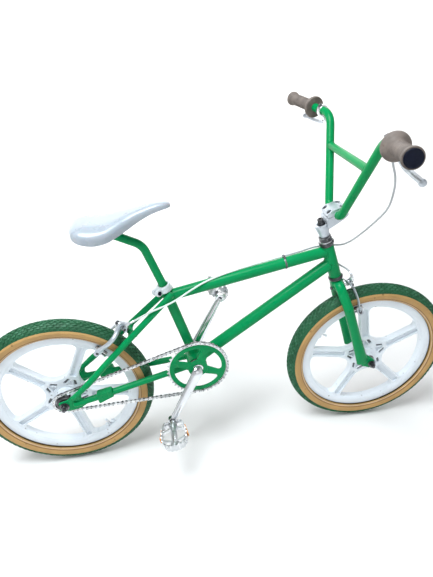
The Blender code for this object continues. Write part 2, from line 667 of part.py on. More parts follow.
def crank():
    """One forging: spindle through the bottom bracket and an arm at each end."""
    arm = Vector((math.cos(CRANK_ANGLE), 0, math.sin(CRANK_ANGLE)))
    bend_at, flare = 0.0563, 0.0830
    corners = [-arm * CRANK_LENGTH - Y_AXIS * flare, -Y_AXIS * bend_at, Y_AXIS * bend_at,
               arm * CRANK_LENGTH + Y_AXIS * flare]
    path = bent_path(corners, [0.014, 0.014], 4)
    lean = arm.cross(Y_AXIS)
    reach, flat = [], []
    for point in path:
        far = abs(point.dot(arm)) / CRANK_LENGTH
        on_spindle = abs(point.y) < bend_at - 0.0060
        reach.append(1.0 if on_spindle else 1.30 - 0.52 * far)
        flat.append(1.0 if on_spindle else 0.70 + 0.20 * far)
    body = swept(path, 0.0110, 12, lean, taper=reach, squash=flat)
    for side in (-1, 1):
        end = side * arm * CRANK_LENGTH
        boss = rod(end + side * 0.0755 * Y_AXIS, end + side * 0.0900 * Y_AXIS, 0.0135, 16)
        body = join(body, boss)
    holes = [rod(side * arm * CRANK_LENGTH + side * 0.06 * Y_AXIS, side * arm * CRANK_LENGTH + side * 0.11 * Y_AXIS,
                 0.0066, 12) for side in (-1, 1)]
    return cut(body, *holes)


def bracket_cup(side):
    low, high = side * (BB_SHELL_HALF + GAP), side * (BB_SHELL_HALF + 0.0058)
    return rod(low * Y_AXIS, high * Y_AXIS, 0.0265, 24, 0.0124)


def chain_loop():
    """The chain as one band with a groove that clears the teeth."""
    ring = Vector((BB_AHEAD_OF_AXLE, 0, BB_HEIGHT - WHEEL_RADIUS))
    distance = ring.length
    line = math.atan2(ring.z, ring.x)
    lean = math.asin((PITCH_RADIUS_RING - PITCH_RADIUS_SPROCKET) / distance)
    stations = []
    top, low = line + math.pi / 2 + lean, line - math.pi / 2 - lean
    steps = 20
    for k in range(steps + 1):
        stations.append((ring, PITCH_RADIUS_RING, top + (low - top) * k / steps))
    steps = 10
    for k in range(steps + 1):
        stations.append((Vector((0, 0, 0)), PITCH_RADIUS_SPROCKET, low - (2 * math.pi - top + low) * k / steps))
    section = [(-0.0042, -0.0042), (0.0046, -0.0042), (0.0046, 0.0042), (-0.0042, 0.0042),
               (-0.0042, 0.0017), (0.0037, 0.0017), (0.0037, -0.0017), (-0.0042, -0.0017)]
    rings = []
    for centre, radius, angle in stations:
        out = Vector((math.cos(angle), 0, math.sin(angle)))
        rings.append([centre + out * (radius + lift) + Y_AXIS * (CHAIN_LINE + side) for lift, side in section])
    return loft(rings, closed=True)


def pedal_cage():
    """A cage pedal: a bearing barrel with a rounded cage held by cross plates."""
    inner, outer, half_in, half_out = 0.0040, 0.0960, 0.0290, 0.0390
    outline = rounded([(-half_in, inner), (half_in, inner), (half_out, 0.060), (half_out - 0.004, outer),
                       (-half_out + 0.004, outer), (-half_out, 0.060)], [0.010, 0.010, 0.02, 0.024, 0.024, 0.02], 4)
    high = 0.0130
    cage = prism(outline, -high, high, Z_AXIS)
    inside = rounded([(-half_in + 0.0025, inner + 0.003), (half_in - 0.0025, inner + 0.003),
                      (half_out - 0.0025, 0.060), (half_out - 0.0065, outer - 0.003),
                      (-half_out + 0.0065, outer - 0.003), (-half_out + 0.0025, 0.060)],
                     [0.008, 0.008, 0.02, 0.022, 0.022, 0.02], 4)
    cage = cut(cage, prism(inside, -0.03, 0.03, Z_AXIS))
    barrel = rod((0, inner - 0.001, 0), (0, outer - 0.0015, 0), 0.0120, 16)
    plates = []
    for y in (0.0220, 0.0700):
        plates.append(prism([(-0.0375, y), (0.0375, y), (0.0375, y + 0.004), (-0.0375, y + 0.004)],
                            -0.0060, 0.0060, Z_AXIS))
    body = join(cage, barrel, *plates)
    return cut(body, rod((0, -0.02, 0), (0, 0.0850, 0), 0.0052, 12))


def drive():
    at = Matrix.Translation(BOTTOM_BRACKET)
    shell = pivot("bottom_bracket_axis", at)
    add("bearing_cup_right", bracket_cup(-1), "dark_steel", shell)
    add("bearing_cup_left", bracket_cup(1), "dark_steel", shell)
    add("chain", moved(chain_loop(), Matrix.Translation(REAR_HUB)), "silver_alloy")
    turning = pivot("crank_axis", at)
    add("crank", crank(), "chrome", turning)
    add("chainring", chainring(), "frame_paint", turning)
    arm = Vector((math.cos(CRANK_ANGLE), 0, math.sin(CRANK_ANGLE)))
    for side, name in ((-1, "right"), (1, "left")):
        end = side * arm * CRANK_LENGTH
        spindle = join(rod(side * 0.0770 * Y_AXIS, side * 0.0925 * Y_AXIS, 0.0063, 12),
                       rod(side * 0.0903 * Y_AXIS, side * 0.0940 * Y_AXIS, 0.0085, 6),
                       rod(side * 0.0930 * Y_AXIS, side * 0.1740 * Y_AXIS, 0.0048, 12))
        add("pedal_spindle_" + name, moved(spindle, Matrix.Translation(end)), "dark_steel", turning)
        spin = pivot("pedal_axis_" + name, Matrix.Translation(end), turning)
        cage = moved(pedal_cage(), Matrix.Translation((0, 0.0925, 0)))
        if side < 0:
            cage = moved(cage, Matrix.Rotation(math.pi, 4, "Z"))
        add("pedal_cage_" + name, moved(cage, Matrix.Rotation(PEDAL_TILT[name], 4, "Y")), "silver_alloy", spin)


# ---------------------------------------------------------------- steering
def steering_matrix():
    """Local +X ahead, +Y left and +Z up the steering axis, turned to the resting angle."""
    basis = Matrix((STEER_AHEAD, Y_AXIS, STEER_UP)).transposed().to_4x4()
    return Matrix.Translation(STEER_FOOT) @ basis @ Matrix.Rotation(STEER_REST, 4, "Z")


FORK_BRAKE_UP = 0.2870
FORK_LEG_SIDE = 0.0530
FOOT_WIDENING = [1.14, 1.28]    # fore and aft, above the foot and at its end
FOOT_SQUASH = [0.84, 0.46]      # the foot is pressed flat for the dropout plate


def fork():
    """Steerer and both legs, welded into one piece, with plate dropouts."""
    steerer = rod((0, 0, 0.2950), (0, 0, 0.4540), STEERER_RADIUS, 20)
    legs = []
    for side in (-1, 1):
        path = bent_path([(0, side * 0.0060, 0.3010), (0, side * 0.0270, 0.2950), (0.001, side * FORK_LEG_SIDE, 0.2340),
                          (0.0005, side * FORK_LEG_SIDE, 0.1400), (0.0010, side * FORK_LEG_SIDE, 0.0600),
                          (0.0010, side * FORK_LEG_SIDE, 0.0150)], [0.020, 0.030, 0, 0], 3)
        round_part = [1.0] * (len(path) - 2)
        legs.append(swept(path, FORK_LEG_RADIUS, 14, X_AXIS, taper=round_part + FOOT_WIDENING,
                          squash=round_part + FOOT_SQUASH))
        low, high = sorted((side * FRONT_DROPOUT_INNER, side * (FRONT_DROPOUT_INNER + DROPOUT_THICKNESS)))
        plate = rounded([(-0.004, 0.050), (-0.004, 0.004), (0.016, -0.0130), (0.0370, -0.0130), (0.0370, 0.0120),
                         (0.0165, 0.0440)], [0.002, 0.004, 0.006, 0.009, 0.009, 0.008], 2)
        legs.append(prism(plate, low, high))
    body = join(steerer, *legs)
    tools = [rod((0, 0, 0.30), (0, 0, 0.50), 0.0114, 20),
             rod((FORK_OFFSET, -0.09, 0), (FORK_OFFSET, 0.09, 0), AXLE_RADIUS + GAP, 16),
             rod((-0.03, 0, FORK_BRAKE_UP), (0.03, 0, FORK_BRAKE_UP), 0.0036, 12)]
    return cut(body, *tools)


def headset():
    """The two pressed cups stay with the frame; the locknut turns with the fork."""
    fixed = pivot("headset_axis", steering_matrix() @ Matrix.Rotation(-STEER_REST, 4, "Z"))
    hold = STEERER_RADIUS + GAP
    lower = turned([(hold, 0.3160), (0.0200, 0.3160), (0.0210, 0.3215), (0.0185, HEAD_BOTTOM - GAP),
                    (hold, HEAD_BOTTOM - GAP)], 24)
    upper = turned([(hold, HEAD_TOP + GAP), (0.0185, HEAD_TOP + GAP), (0.0192, 0.4345), (hold, 0.4345)], 24)
    add("headset_cup_lower", lower, "frame_paint", fixed)
    add("headset_cup_upper", upper, "dark_steel", fixed)


def headset_locknut():
    hold = STEERER_RADIUS + GAP
    return turned([(hold, 0.4348), (0.0204, 0.4348), (0.0208, 0.4420), (0.0182, 0.4460), (0.0182, 0.4540),
                   (0.0166, LOCKNUT_TOP - GAP), (hold, LOCKNUT_TOP - GAP)], 20)


def stem():
    """Quill, flared neck and the lower half of the bar clamp."""
    ahead, up = BAR_CLAMP
    neck = turned([(0, 0.3800), (0.0109, 0.3800), (0.0109, LOCKNUT_TOP + GAP), (0.0142, LOCKNUT_TOP + GAP),
                   (0.0150, 0.4700), (0.0190, 0.4890), (0.0190, NECK_TOP), (0.0125, NECK_TOP), (0.0125, 0.4930),
                   (0, 0.4930)], 20)
    block = prism(rounded([(0.010, 0.4860), (0.056, 0.4990), (0.0690, 0.5060), (0.0690, up - 0.0008),
                           (0.0140, up - 0.0008), (0.0100, 0.5100)], [0.003, 0.003, 0.003, 0.001, 0.001, 0.002], 1),
                  -0.0260, 0.0260)
    bore = rod((ahead, -0.05, up), (ahead, 0.05, up), BAR_RADIUS + GAP, 20)
    pocket = rod((0, 0, 0.4930), (0, 0, 0.53), 0.0125, 20)
    return cut(join(neck, block), bore, pocket, rod((0, 0, 0.47), (0, 0, 0.50), 0.0043 + GAP, 12))


def expander_bolt():
    """The long bolt's head and top thread; its head stands above the neck's rim."""
    return join(rod((0, 0, 0.4705), (0, 0, 0.5000), 0.0043, 12), rod((0, 0, 0.4933), (0, 0, 0.5010), 0.0100, 16),
                rod((0, 0, 0.4990), (0, 0, EXPANDER_TOP), 0.0082, 16))


def stem_cap():
    """The upper half of the bar clamp, with four bolt recesses."""
    ahead, up = BAR_CLAMP
    block = prism(rounded([(0.0145, up + 0.0008), (0.0690, up + 0.0008), (0.0690, 0.5270), (0.0560, 0.5330),
                           (0.0280, 0.5330), (0.0145, 0.5270)], [0.001, 0.001, 0.004, 0.004, 0.004, 0.004], 1),
                  -0.0260, 0.0260)
    bore = rod((ahead, -0.05, up), (ahead, 0.05, up), BAR_RADIUS + GAP, 20)
    recesses = [rod((x, y, 0.5245), (x, y, 0.54), 0.0048, 10) for x in (0.0230, 0.0590) for y in (-0.0165, 0.0165)]
    return cut(block, bore, *recesses)


def bar_point(side, out, rise, back=0.0):
    """A point of the handlebar by its distance out, up the bar plane, and back from it."""
    ahead, up = BAR_CLAMP
    return Vector((ahead + rise * math.sin(BAR_TILT) - back * math.cos(BAR_TILT), side * out,
                   up + rise * math.cos(BAR_TILT) + back * math.sin(BAR_TILT)))


def grip_direction(side):
    tilted = bar_point(side, 0, BAR_UPSWEEP, math.sin(BAR_BACKSWEEP)) - bar_point(side, 0, 0)
    return (Vector((0, side * math.cos(BAR_BACKSWEEP), 0)) + tilted).normalized()


def grip_axis(side, half):
    """The point of the bar's centre line where it is this far from the middle."""
    corner = bar_point(side, BAR_TOP_HALF, BAR_RISE)
    way = grip_direction(side)
    return corner + way * ((half - BAR_TOP_HALF) / abs(way.y))


def handlebar():
    corners = [grip_axis(-1, GRIP_END_HALF - 0.006), bar_point(-1, BAR_TOP_HALF, BAR_RISE),
               bar_point(-1, BAR_BASE_HALF, 0), bar_point(1, BAR_BASE_HALF, 0),
               bar_point(1, BAR_TOP_HALF, BAR_RISE), grip_axis(1, GRIP_END_HALF - 0.006)]
    forward = Vector((math.cos(BAR_TILT), 0, -math.sin(BAR_TILT)))
    main = swept(bent_path(corners, [0.055, 0.028, 0.028, 0.055], 5), BAR_RADIUS, 14, forward)
    share = CROSSBAR_RISE / BAR_RISE
    reach = BAR_BASE_HALF + (BAR_TOP_HALF - BAR_BASE_HALF) * share
    cross = rod(bar_point(-1, reach, CROSSBAR_RISE), bar_point(1, reach, CROSSBAR_RISE), CROSSBAR_RADIUS, 14)
    return join(main, cross)


def grip(side):
    """A soft grip with a wide inner flange and a small outer one."""
    start, end = grip_axis(side, GRIP_START_HALF), grip_axis(side, GRIP_END_HALF)
    length = (end - start).length
    hold = BAR_RADIUS + GAP
    profile = [(hold, 0.0), (0.0235, 0.0), (0.0292, 0.0040), (0.0280, 0.0110), (0.0190, 0.0160), (0.0160, 0.0250),
               (0.0160, length - 0.0150), (0.0192, length - 0.0090), (0.0200, length - 0.0030),
               (0.0188, length), (hold, length)]
    return turned(profile, 20, end - start, start)


def grip_plug(side):
    end = grip_axis(side, GRIP_END_HALF)
    way = grip_direction(side)
    return rod(end + way * GAP, end + way * 0.0040, 0.0168, 20)


LEVER_HALF = 0.2080
LEVER_DROP = math.radians(75.0)


def lever_frame(side):
    """Local +X away from the bar to the lever, +Y along the bar towards the grip, at the bar's centre."""
    way = grip_direction(side)
    forward = Vector((math.cos(LEVER_DROP), 0, -math.sin(LEVER_DROP)))
    forward = (forward - way * forward.dot(way)).normalized()
    up = forward.cross(way)
    return Matrix.Translation(grip_axis(side, LEVER_HALF)) @ Matrix((forward, way, up)).transposed().to_4x4()


def lever_mount(side):
    """The clamp round the bar with its lever pivot ears and cable stop."""
    band = rod((0, -0.0085, 0), (0, 0.0085, 0), 0.0150, 20)
    post = prism([(0.010, -0.0080), (0.0300, -0.0080), (0.0360, 0.0), (0.0360, 0.0140), (0.010, 0.0075)],
                 -0.0085, 0.0085, Z_AXIS)
    stop = rod((0.0270, -0.0200, 0), (0.0270, -0.0060, 0), 0.0050, 12)
    slot = prism([(0.0200, -0.0050), (0.05, -0.0050), (0.05, 0.03), (0.0200, 0.03)], -0.0048, 0.0048, Z_AXIS)
    bore = rod((0, -0.03, 0), (0, 0.03, 0), BAR_RADIUS + GAP, 20)
    wire_hole = rod((0.0270, -0.03, 0), (0.0270, -0.001, 0), 0.0034, 8)
    body = cut(join(band, post, stop), bore, slot, wire_hole)
    return moved(body, lever_frame(side))


LEVER_PIVOT = Vector((0.0300, 0.0060, 0.0))


def lever_blade():
    """The lever, in coordinates from its pivot."""
    tip = [(0, 0, 0), (0.0120, 0.0140, 0), (0.0200, 0.0340, 0), (0.0240, 0.0650, 0), (0.0250, 0.1000, 0),
           (0.0270, 0.1300, 0)]
    path = smooth_path(tip, 0.016)
    count = len(path) - 1
    taper = [0.62, 0.62] + [1.0 - 0.25 * k / count for k in range(2, count + 1)]
    blade = swept(path, 0.0068, 8, Z_AXIS, taper=taper, squash=0.55)
    out = (path[-1] - path[-2]).normalized()
    knob = turned([(0, 0.0), (0.0060, 0.0), (0.0075, 0.0060), (0.0050, 0.0120), (0, 0.0120)], 10, out,
                  path[-1] - out * 0.006)
    hub = rod((0, 0, -0.0045), (0, 0, 0.0045), 0.0060, 12)
    return join(hub, blade, knob)


def hand_controls(steer):
    for side, name in ((-1, "right"), (1, "left")):
        add("grip_" + name, grip(side), "grip_rubber", steer)
        add("grip_plug_" + name, grip_plug(side), "plug_plastic", steer)
        add("lever_mount_" + name, lever_mount(side), "silver_alloy", steer)
        axis = pivot("lever_axis_" + name, lever_frame(side) @ Matrix.Translation(LEVER_PIVOT), steer)
        add("brake_lever_" + name, lever_blade(), "silver_alloy", axis)


def front_end():
    steer = pivot("steering_axis", steering_matrix())
    add("fork", fork(), "frame_paint", steer)
    add("headset_locknut", headset_locknut(), "dark_steel", steer)
    add("stem", stem(), "silver_alloy", steer)
    add("expander_bolt", expander_bolt(), "dark_steel", steer)
    add("stem_cap", stem_cap(), "silver_alloy", steer)
    add("handlebar", handlebar(), "bar_paint", steer)
    hand_controls(steer)
    hub = pivot("front_axle_axis", Matrix.Translation((FORK_OFFSET, 0, 0)), steer)
    add("front_axle", axle(FRONT_AXLE_HALF), "dark_steel", hub)
    outer = FRONT_DROPOUT_INNER + DROPOUT_THICKNESS
    add("front_axle_nut_right", axle_nut(-1, outer), "dark_steel", hub)
    add("front_axle_nut_left", axle_nut(1, outer), "dark_steel", hub)
    lean = math.pi / 2 - HEAD_ANGLE
    wheel("front", Vector((FORK_OFFSET, 0, 0)), FRONT_SPOKE_ANGLE - lean, math.radians(148.3) - lean,
          (-0.0360, 0.0360, 0.0490), steer)
    return steer


# ---------------------------------------------------------------- brakes
CALIPER_PLANE = 0.0300        # from the fork's or the bridge's centre line to the arms
CALIPER_REACH = 0.0880        # from the pivot bolt down to the pads


def flat_bar(points, widths, low, high):
    """A flat forging that follows points in (side, up), widths across, between two depths."""
    points = [Vector(p) for p in points]
    left, right = [], []
    for i, point in enumerate(points):
        before, after = points[max(i - 1, 0)], points[min(i + 1, len(points) - 1)]
        along = (after - before).normalized()
        across = Vector((-along.y, along.x))
        left.append(tuple(point + across * widths[i] / 2))
        right.append(tuple(point - across * widths[i] / 2))
    return prism(left + right[::-1], low, high, X_AXIS)


def brake_arm(side, tail_side, low, high):
    """A side-pull caliper arm about its pivot.

    side is the side of its pad. Both arms have their cable tails on tail_side; the arm whose
    pad is there too has the upper one, so that the cable draws the tails and the pads together.
    """
    foot = [(side * 0.0352, -CALIPER_REACH - 0.0085), (side * 0.0370, -0.0700), (side * 0.0445, -0.0450),
            (side * 0.0360, -0.0180), (0.0, 0.0)]
    if side == tail_side:
        tail = [(0.0, 0.0), (tail_side * 0.0200, 0.0210), (tail_side * 0.0370, 0.0310)]
    else:
        tail = [(0.0, 0.0), (tail_side * 0.0230, 0.0110), (tail_side * 0.0400, 0.0130)]
    arm = flat_bar(foot, [0.0110, 0.0110, 0.0130, 0.0160, 0.0180], low, high)
    middle = (low + high) / 2
    near, far = sorted((side * 0.0332, side * 0.0385))
    seat = prism(rounded([(middle - 0.0072, -CALIPER_REACH - 0.0130), (middle + 0.0072, -CALIPER_REACH - 0.0130),
                          (middle + 0.0072, -CALIPER_REACH + 0.0150), (middle - 0.0072, -CALIPER_REACH + 0.0150)],
                         0.0050, 2), near, far)
    near, far = sorted((side * 0.0362, side * 0.0500))
    slot = prism([(middle - 0.0028, -CALIPER_REACH - 0.0080), (middle + 0.0028, -CALIPER_REACH - 0.0080),
                  (middle + 0.0028, -CALIPER_REACH + 0.0100), (middle - 0.0028, -CALIPER_REACH + 0.0100)], near, far)
    tail = flat_bar(tail, [0.0170, 0.0120, 0.0090], low + 0.0004, high - 0.0004)
    hub = rod((low - 0.0004, 0, 0), (high + 0.0004, 0, 0), 0.0105, 16)
    inner, outer = sorted((side * 0.0180, side * 0.0330))
    holder = prism([(-0.0190, inner), (0.0190, inner), (0.0190, outer), (-0.0190, outer)],
                   -CALIPER_REACH - 0.0055, -CALIPER_REACH + 0.0055, Z_AXIS)
    holder = moved(holder, Matrix.Translation((CALIPER_PLANE, 0, 0)))
    bore = rod((low - 0.01, 0, 0), (high + 0.01, 0, 0), 0.0036, 12)
    return cut(join(arm, hub, tail, holder, seat), bore, slot)


def caliper(prefix, matrix, tail_side, parent, face):
    """Both arms on one pivot bolt, the outer one out to the face; the bolt stays with the frame or the fork."""
    fixed = pivot(prefix + "_brake_mount", matrix, parent)
    bolt = rod((-0.0240, 0, 0), (face + 0.0065, 0, 0), 0.0032, 12)
    head = rod((face + 0.0015, 0, 0), (face + 0.0075, 0, 0), 0.0075, 6)
    spacer = rod((0.0165, 0, 0), (0.0240, 0, 0), 0.0085, 14)
    add(prefix + "_brake_bolt", join(bolt, head, spacer), "dark_steel", fixed)
    near = pivot(prefix + "_brake_arm_axis_a", matrix, parent)
    far = pivot(prefix + "_brake_arm_axis_b", matrix, parent)
    add(prefix + "_brake_arm_outer", brake_arm(tail_side, tail_side, 0.0325, face), "silver_alloy", near)
    add(prefix + "_brake_arm_inner", brake_arm(-tail_side, tail_side, 0.0250, 0.0310), "silver_alloy", far)


def stay_matrix():
    """Local +X behind the seat stays, +Z up along them, at the brake bridge."""
    return Matrix.Translation(stay_point(BRIDGE_ALONG)) @ Matrix((STAY_BACK, -Y_AXIS, STAY_UP)).transposed().to_4x4()


def brakes(steer):
    caliper("rear", stay_matrix(), 1, None, 0.0450)
    caliper("front", Matrix.Translation((0, 0, FORK_BRAKE_UP)), -1, steer, 0.0385)


# ---------------------------------------------------------------- cables
CABLE_RADIUS = 0.0025
CLIP_AHEAD = 0.6536          # from the rear hub
CABLE_OFF_TUBE = 0.0191


def tube_side(ahead, turn):
    """A point beside the top tube; turn is the angle from its top to its left side."""
    along = (STEER_FOOT + TOP_TUBE_AT_HEAD * STEER_UP - SEAT_NODE).normalized()
    over = Vector((-along.z, 0, along.x))
    centre = SEAT_NODE + along * ((REAR_HUB.x + ahead - SEAT_NODE.x) / along.x)
    return centre + CABLE_OFF_TUBE * (over * math.cos(turn) + Y_AXIS * math.sin(turn)), along, centre


def from_hub(ahead, left, height):
    return Vector((REAR_HUB.x + ahead, left, height))


def cables(steer):
    turn = math.radians(28)
    at_clip, along, centre = tube_side(CLIP_AHEAD, turn)
    half = 0.0025 * along
    band = join(rod(centre - half, centre + half, TOP_TUBE_RADIUS + 0.0017, 20),
                rod(at_clip - half * 1.3, at_clip + half * 1.3, CABLE_RADIUS + 0.0020, 12))
    lock = rod(tube_side(CLIP_AHEAD, math.radians(-14))[0] - half, tube_side(CLIP_AHEAD, math.radians(-14))[0] + half,
               0.0036, 8)
    band = cut(join(band, lock), rod(centre - 4 * half, centre + 4 * half, TOP_TUBE_RADIUS + GAP, 20),
               rod(at_clip - 4 * half, at_clip + 4 * half, CABLE_RADIUS + GAP, 12))
    add("cable_clip", band, "dark_steel")

    rear = [at_clip - 0.002 * along, tube_side(0.600, math.radians(24))[0], tube_side(0.530, math.radians(8))[0],
            tube_side(0.4708, math.radians(-12))[0], tube_side(0.430, math.radians(-34))[0],
            from_hub(0.3900, -0.0240, 0.5735), from_hub(0.3480, -0.0355, 0.5550), from_hub(0.3180, -0.0395, 0.5430),
            from_hub(0.2726, -0.0375, 0.5255),
            from_hub(0.2250, -0.0340, 0.5010)]
    end = stay_matrix() @ Vector((0.0355, 0.0370, 0.0395))
    add("rear_brake_cable", swept(smooth_path(rear + [end], 0.022), CABLE_RADIUS, 8), "white_housing")

    local = steering_matrix()

    def stop_line(side):
        frame = lever_frame(side)
        return [frame @ Vector((0.0270, -reach, 0)) for reach in (0.0120, 0.0250)]

    start = [local @ p for p in stop_line(-1)]
    loop = [start[1]] + [local @ Vector((t, y, s)) for s, t, y in
             ((0.6600, 0.1410, -0.1720), (0.6330, 0.1400, -0.1760), (0.5940, 0.1385, -0.1620),
              (0.5400, 0.1310, -0.1300), (0.4940, 0.1090, -0.0900), (0.4410, 0.0670, -0.0400),
              (0.4150, 0.0420, -0.0040), (0.4060, 0.0190, 0.0285))]
    loop += [tube_side(0.7500, math.radians(60))[0] + 0.0075 * Y_AXIS, tube_side(0.7000, math.radians(34))[0],
             at_clip + 0.0015 * along]
    add("rear_brake_cable_loop", swept(start[:1] + smooth_path(loop, 0.022), CABLE_RADIUS, 8), "cable_housing")

    start = stop_line(1)
    front = [start[1]] + [Vector((t, y, s)) for s, t, y in
              ((0.6767, 0.1279, 0.1649), (0.6407, 0.1104, 0.1419), (0.5958, 0.0886, 0.1131),
               (0.5508, 0.0667, 0.0843), (0.5200, 0.0490, 0.0630), (0.4880, 0.0320, 0.0440),
               (0.4580, 0.0180, 0.0310), (0.4300, 0.0118, 0.0205), (0.3850, 0.0110, 0.0198),
               (0.3560, 0.0150, 0.0210), (0.3420, 0.0245, 0.0130), (0.3390, 0.0315, -0.0030),
               (0.3380, 0.0350, -0.0190), (0.3345, 0.0362, -0.0310))]
    front.append(Vector((0.0360, -0.0370, FORK_BRAKE_UP + 0.0395)))
    add("front_brake_cable", swept(start[:1] + smooth_path(front, 0.024), CABLE_RADIUS, 8), "cable_housing", steer)


def main():
    clear_scene()
    main_frame()
    seat_stays()
    chain_stay(-1, "chain_stay_right")
    chain_stay(1, "chain_stay_left")
    seat_group()
    rear_wheel()
    drive()
    headset()
    steer = front_end()
    brakes(steer)
    cables(steer)


main()
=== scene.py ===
from math import asin, atan2, copysign, cos, pi, radians, sin, sqrt, tan

import bmesh
import bpy
from mathutils import Matrix, Vector


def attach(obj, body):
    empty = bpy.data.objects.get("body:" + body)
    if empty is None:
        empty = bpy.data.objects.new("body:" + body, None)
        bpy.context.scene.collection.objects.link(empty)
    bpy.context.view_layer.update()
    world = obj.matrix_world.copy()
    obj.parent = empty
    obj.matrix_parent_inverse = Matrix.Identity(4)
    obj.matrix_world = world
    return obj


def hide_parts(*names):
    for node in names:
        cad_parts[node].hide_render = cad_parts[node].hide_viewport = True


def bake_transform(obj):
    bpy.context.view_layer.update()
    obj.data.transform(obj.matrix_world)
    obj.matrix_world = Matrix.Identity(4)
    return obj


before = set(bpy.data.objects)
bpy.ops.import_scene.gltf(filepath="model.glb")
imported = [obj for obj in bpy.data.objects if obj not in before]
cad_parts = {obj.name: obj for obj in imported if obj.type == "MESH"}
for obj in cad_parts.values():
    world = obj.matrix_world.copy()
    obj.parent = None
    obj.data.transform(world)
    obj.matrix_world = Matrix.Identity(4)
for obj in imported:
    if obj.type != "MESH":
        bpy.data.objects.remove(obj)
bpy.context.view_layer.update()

shift = Matrix.Translation


def spin(angle, axis):
    return Matrix.Rotation(angle, 4, axis)


def frame_at(origin, *directions):
    """A place with its own x, y and z directions."""
    return shift(origin) @ Matrix(directions).transposed().to_4x4()


# ---------------------------------------------------------------- sizes of the bike, in metres
WHEEL_RADIUS, TYRE_SECTION, WHEELBASE = .256, .0275, .9355
RIM_EDGE, RIM_HALF, SPOKES = .209, .015, 5
REAR_SPOKE, FRONT_SPOKE = radians(66.1), radians(26.9)
HEAD_ANGLE, FORK_OFFSET, STEER_REST = radians(71.0), .0258, radians(-2.67)
BAR_CLAMP, BAR_TILT = (.0412, .5163), radians(25.9)
BAR_RISE, BAR_BASE_HALF, BAR_TOP_HALF, CROSSBAR_RISE = .218, .042, .1675, .1446
BACKSWEEP, UPSWEEP, GRIP_START, GRIP_END = radians(14.5), .0467, .245, .37
LEVER_HALF, LEVER_DROP, LEVER_PIVOT = .208, radians(75.0), Vector((.03, .006, .0))
CRANK_ANGLE, CRANK_LENGTH = radians(59.7), .1785
PEDAL_TILT = {"right": radians(-9.0), "left": radians(36.0)}
RING_ARM, CHAIN_LINE, CHAIN_PITCH = radians(-22.0), -.044, .0127
RING_PITCH, SPROCKET_PITCH = CHAIN_PITCH * 44 / (2 * pi), CHAIN_PITCH * 16 / (2 * pi)
FORK_BRAKE_UP, FORK_LEG_SIDE, REACH, BRIDGE_ALONG = .287, .053, .088, .283
CLIP_AHEAD, CABLE_OFF_TUBE, HOUSING = .6536, .0191, .0025
HEAD_TUBE, TOP_TUBE, DOWN_TUBE, SEAT_TUBE, SHELL = .0172, .0159, .0172, .0143, .0285
BAR, CROSSBAR, AXLE, HUB_BORE, TOP_JOINT, DOWN_JOINT = .0111, .01, .0048, .0051, .4105, .372

SIDES = (-1, "right"), (1, "left")
X, Y, Z = Vector((1, 0, 0)), Vector((0, 1, 0)), Vector((0, 0, 1))
REAR_HUB = Vector((-WHEELBASE / 2, 0, WHEEL_RADIUS))
BRACKET = REAR_HUB + Vector((.39, 0, .064))
STEER_UP = Vector((-cos(HEAD_ANGLE), 0, sin(HEAD_ANGLE)))
STEER_AHEAD = Vector((sin(HEAD_ANGLE), 0, cos(HEAD_ANGLE)))
STEER_FOOT = Vector((WHEELBASE / 2, 0, WHEEL_RADIUS)) - FORK_OFFSET * STEER_AHEAD
SEAT_UP = Vector((-cos(radians(74)), 0, sin(radians(74))))
SEAT_NODE = BRACKET + .238 * SEAT_UP
STAY_UP = (SEAT_NODE - REAR_HUB).normalized()
STAY_BACK = Vector((-STAY_UP.z, 0, STAY_UP.x))
STEER = frame_at(STEER_FOOT, STEER_AHEAD, Y, STEER_UP) @ spin(STEER_REST, "Z")
FRONT_HUB = STEER @ shift((FORK_OFFSET, 0, 0))
STAYS = frame_at(REAR_HUB + BRIDGE_ALONG * STAY_UP, STAY_BACK, -Y, STAY_UP)


# ---------------------------------------------------------------- mesh tools
def mesh_from(bm):
    bmesh.ops.remove_doubles(bm, verts=bm.verts, dist=1e-6)
    bmesh.ops.recalc_face_normals(bm, faces=bm.faces)
    mesh = bpy.data.meshes.new("mesh")
    bm.to_mesh(mesh)
    bm.free()
    return mesh


def skin(bm, loops):
    """Faces between each loop of vertices and the next."""
    for low, high in zip(loops, loops[1:]):
        for i in range(len(low)):
            j = (i + 1) % len(low)
            bm.faces.new((low[i], low[j], high[j], high[i]))


def loft(rings, closed=False):
    bm = bmesh.new()
    loops = [[bm.verts.new(p) for p in ring] for ring in rings]
    skin(bm, loops + loops[:closed])
    if not closed:
        bm.faces.new(reversed(loops[0]))
        bm.faces.new(loops[-1])
    return mesh_from(bm)


def aim(direction, at=(0, 0, 0)):
    return shift(at) @ Vector(direction).to_track_quat("Z", "Y").to_matrix().to_4x4()


def turned(profile, sides=64, about=Z, at=(0, 0, 0), wave=None):
    """Turns a (radius, height) profile; a solid starts and ends on the axis, and wave ripples it."""
    solid = profile[0][0] < 1e-9
    rows = profile[1:-1] if solid else profile
    rings = []
    for radius, height in rows:
        ring = []
        for k in range(sides):
            a = 2 * pi * k / sides
            r = radius + (wave(a, height) if wave else 0)
            ring.append(Vector((r * cos(a), r * sin(a), height)))
        rings.append(ring)
    mesh = loft(rings, closed=not solid)
    mesh.transform(aim(about, at))
    return mesh


def rod(start, end, radius, sides=40, hole=.0, edge=.0):
    """A straight round bar or tube with small chamfers at its ends."""
    start, end = Vector(start), Vector(end)
    h, e = (end - start).length, edge
    outer = [(radius - e, 0),
        (radius, e), (radius, h - e), (radius - e, h)] if e else [(radius, 0), (radius, h)]
    profile = [(hole, 0)] + outer + [(hole, h)]
    return turned(profile, sides, end - start, start)


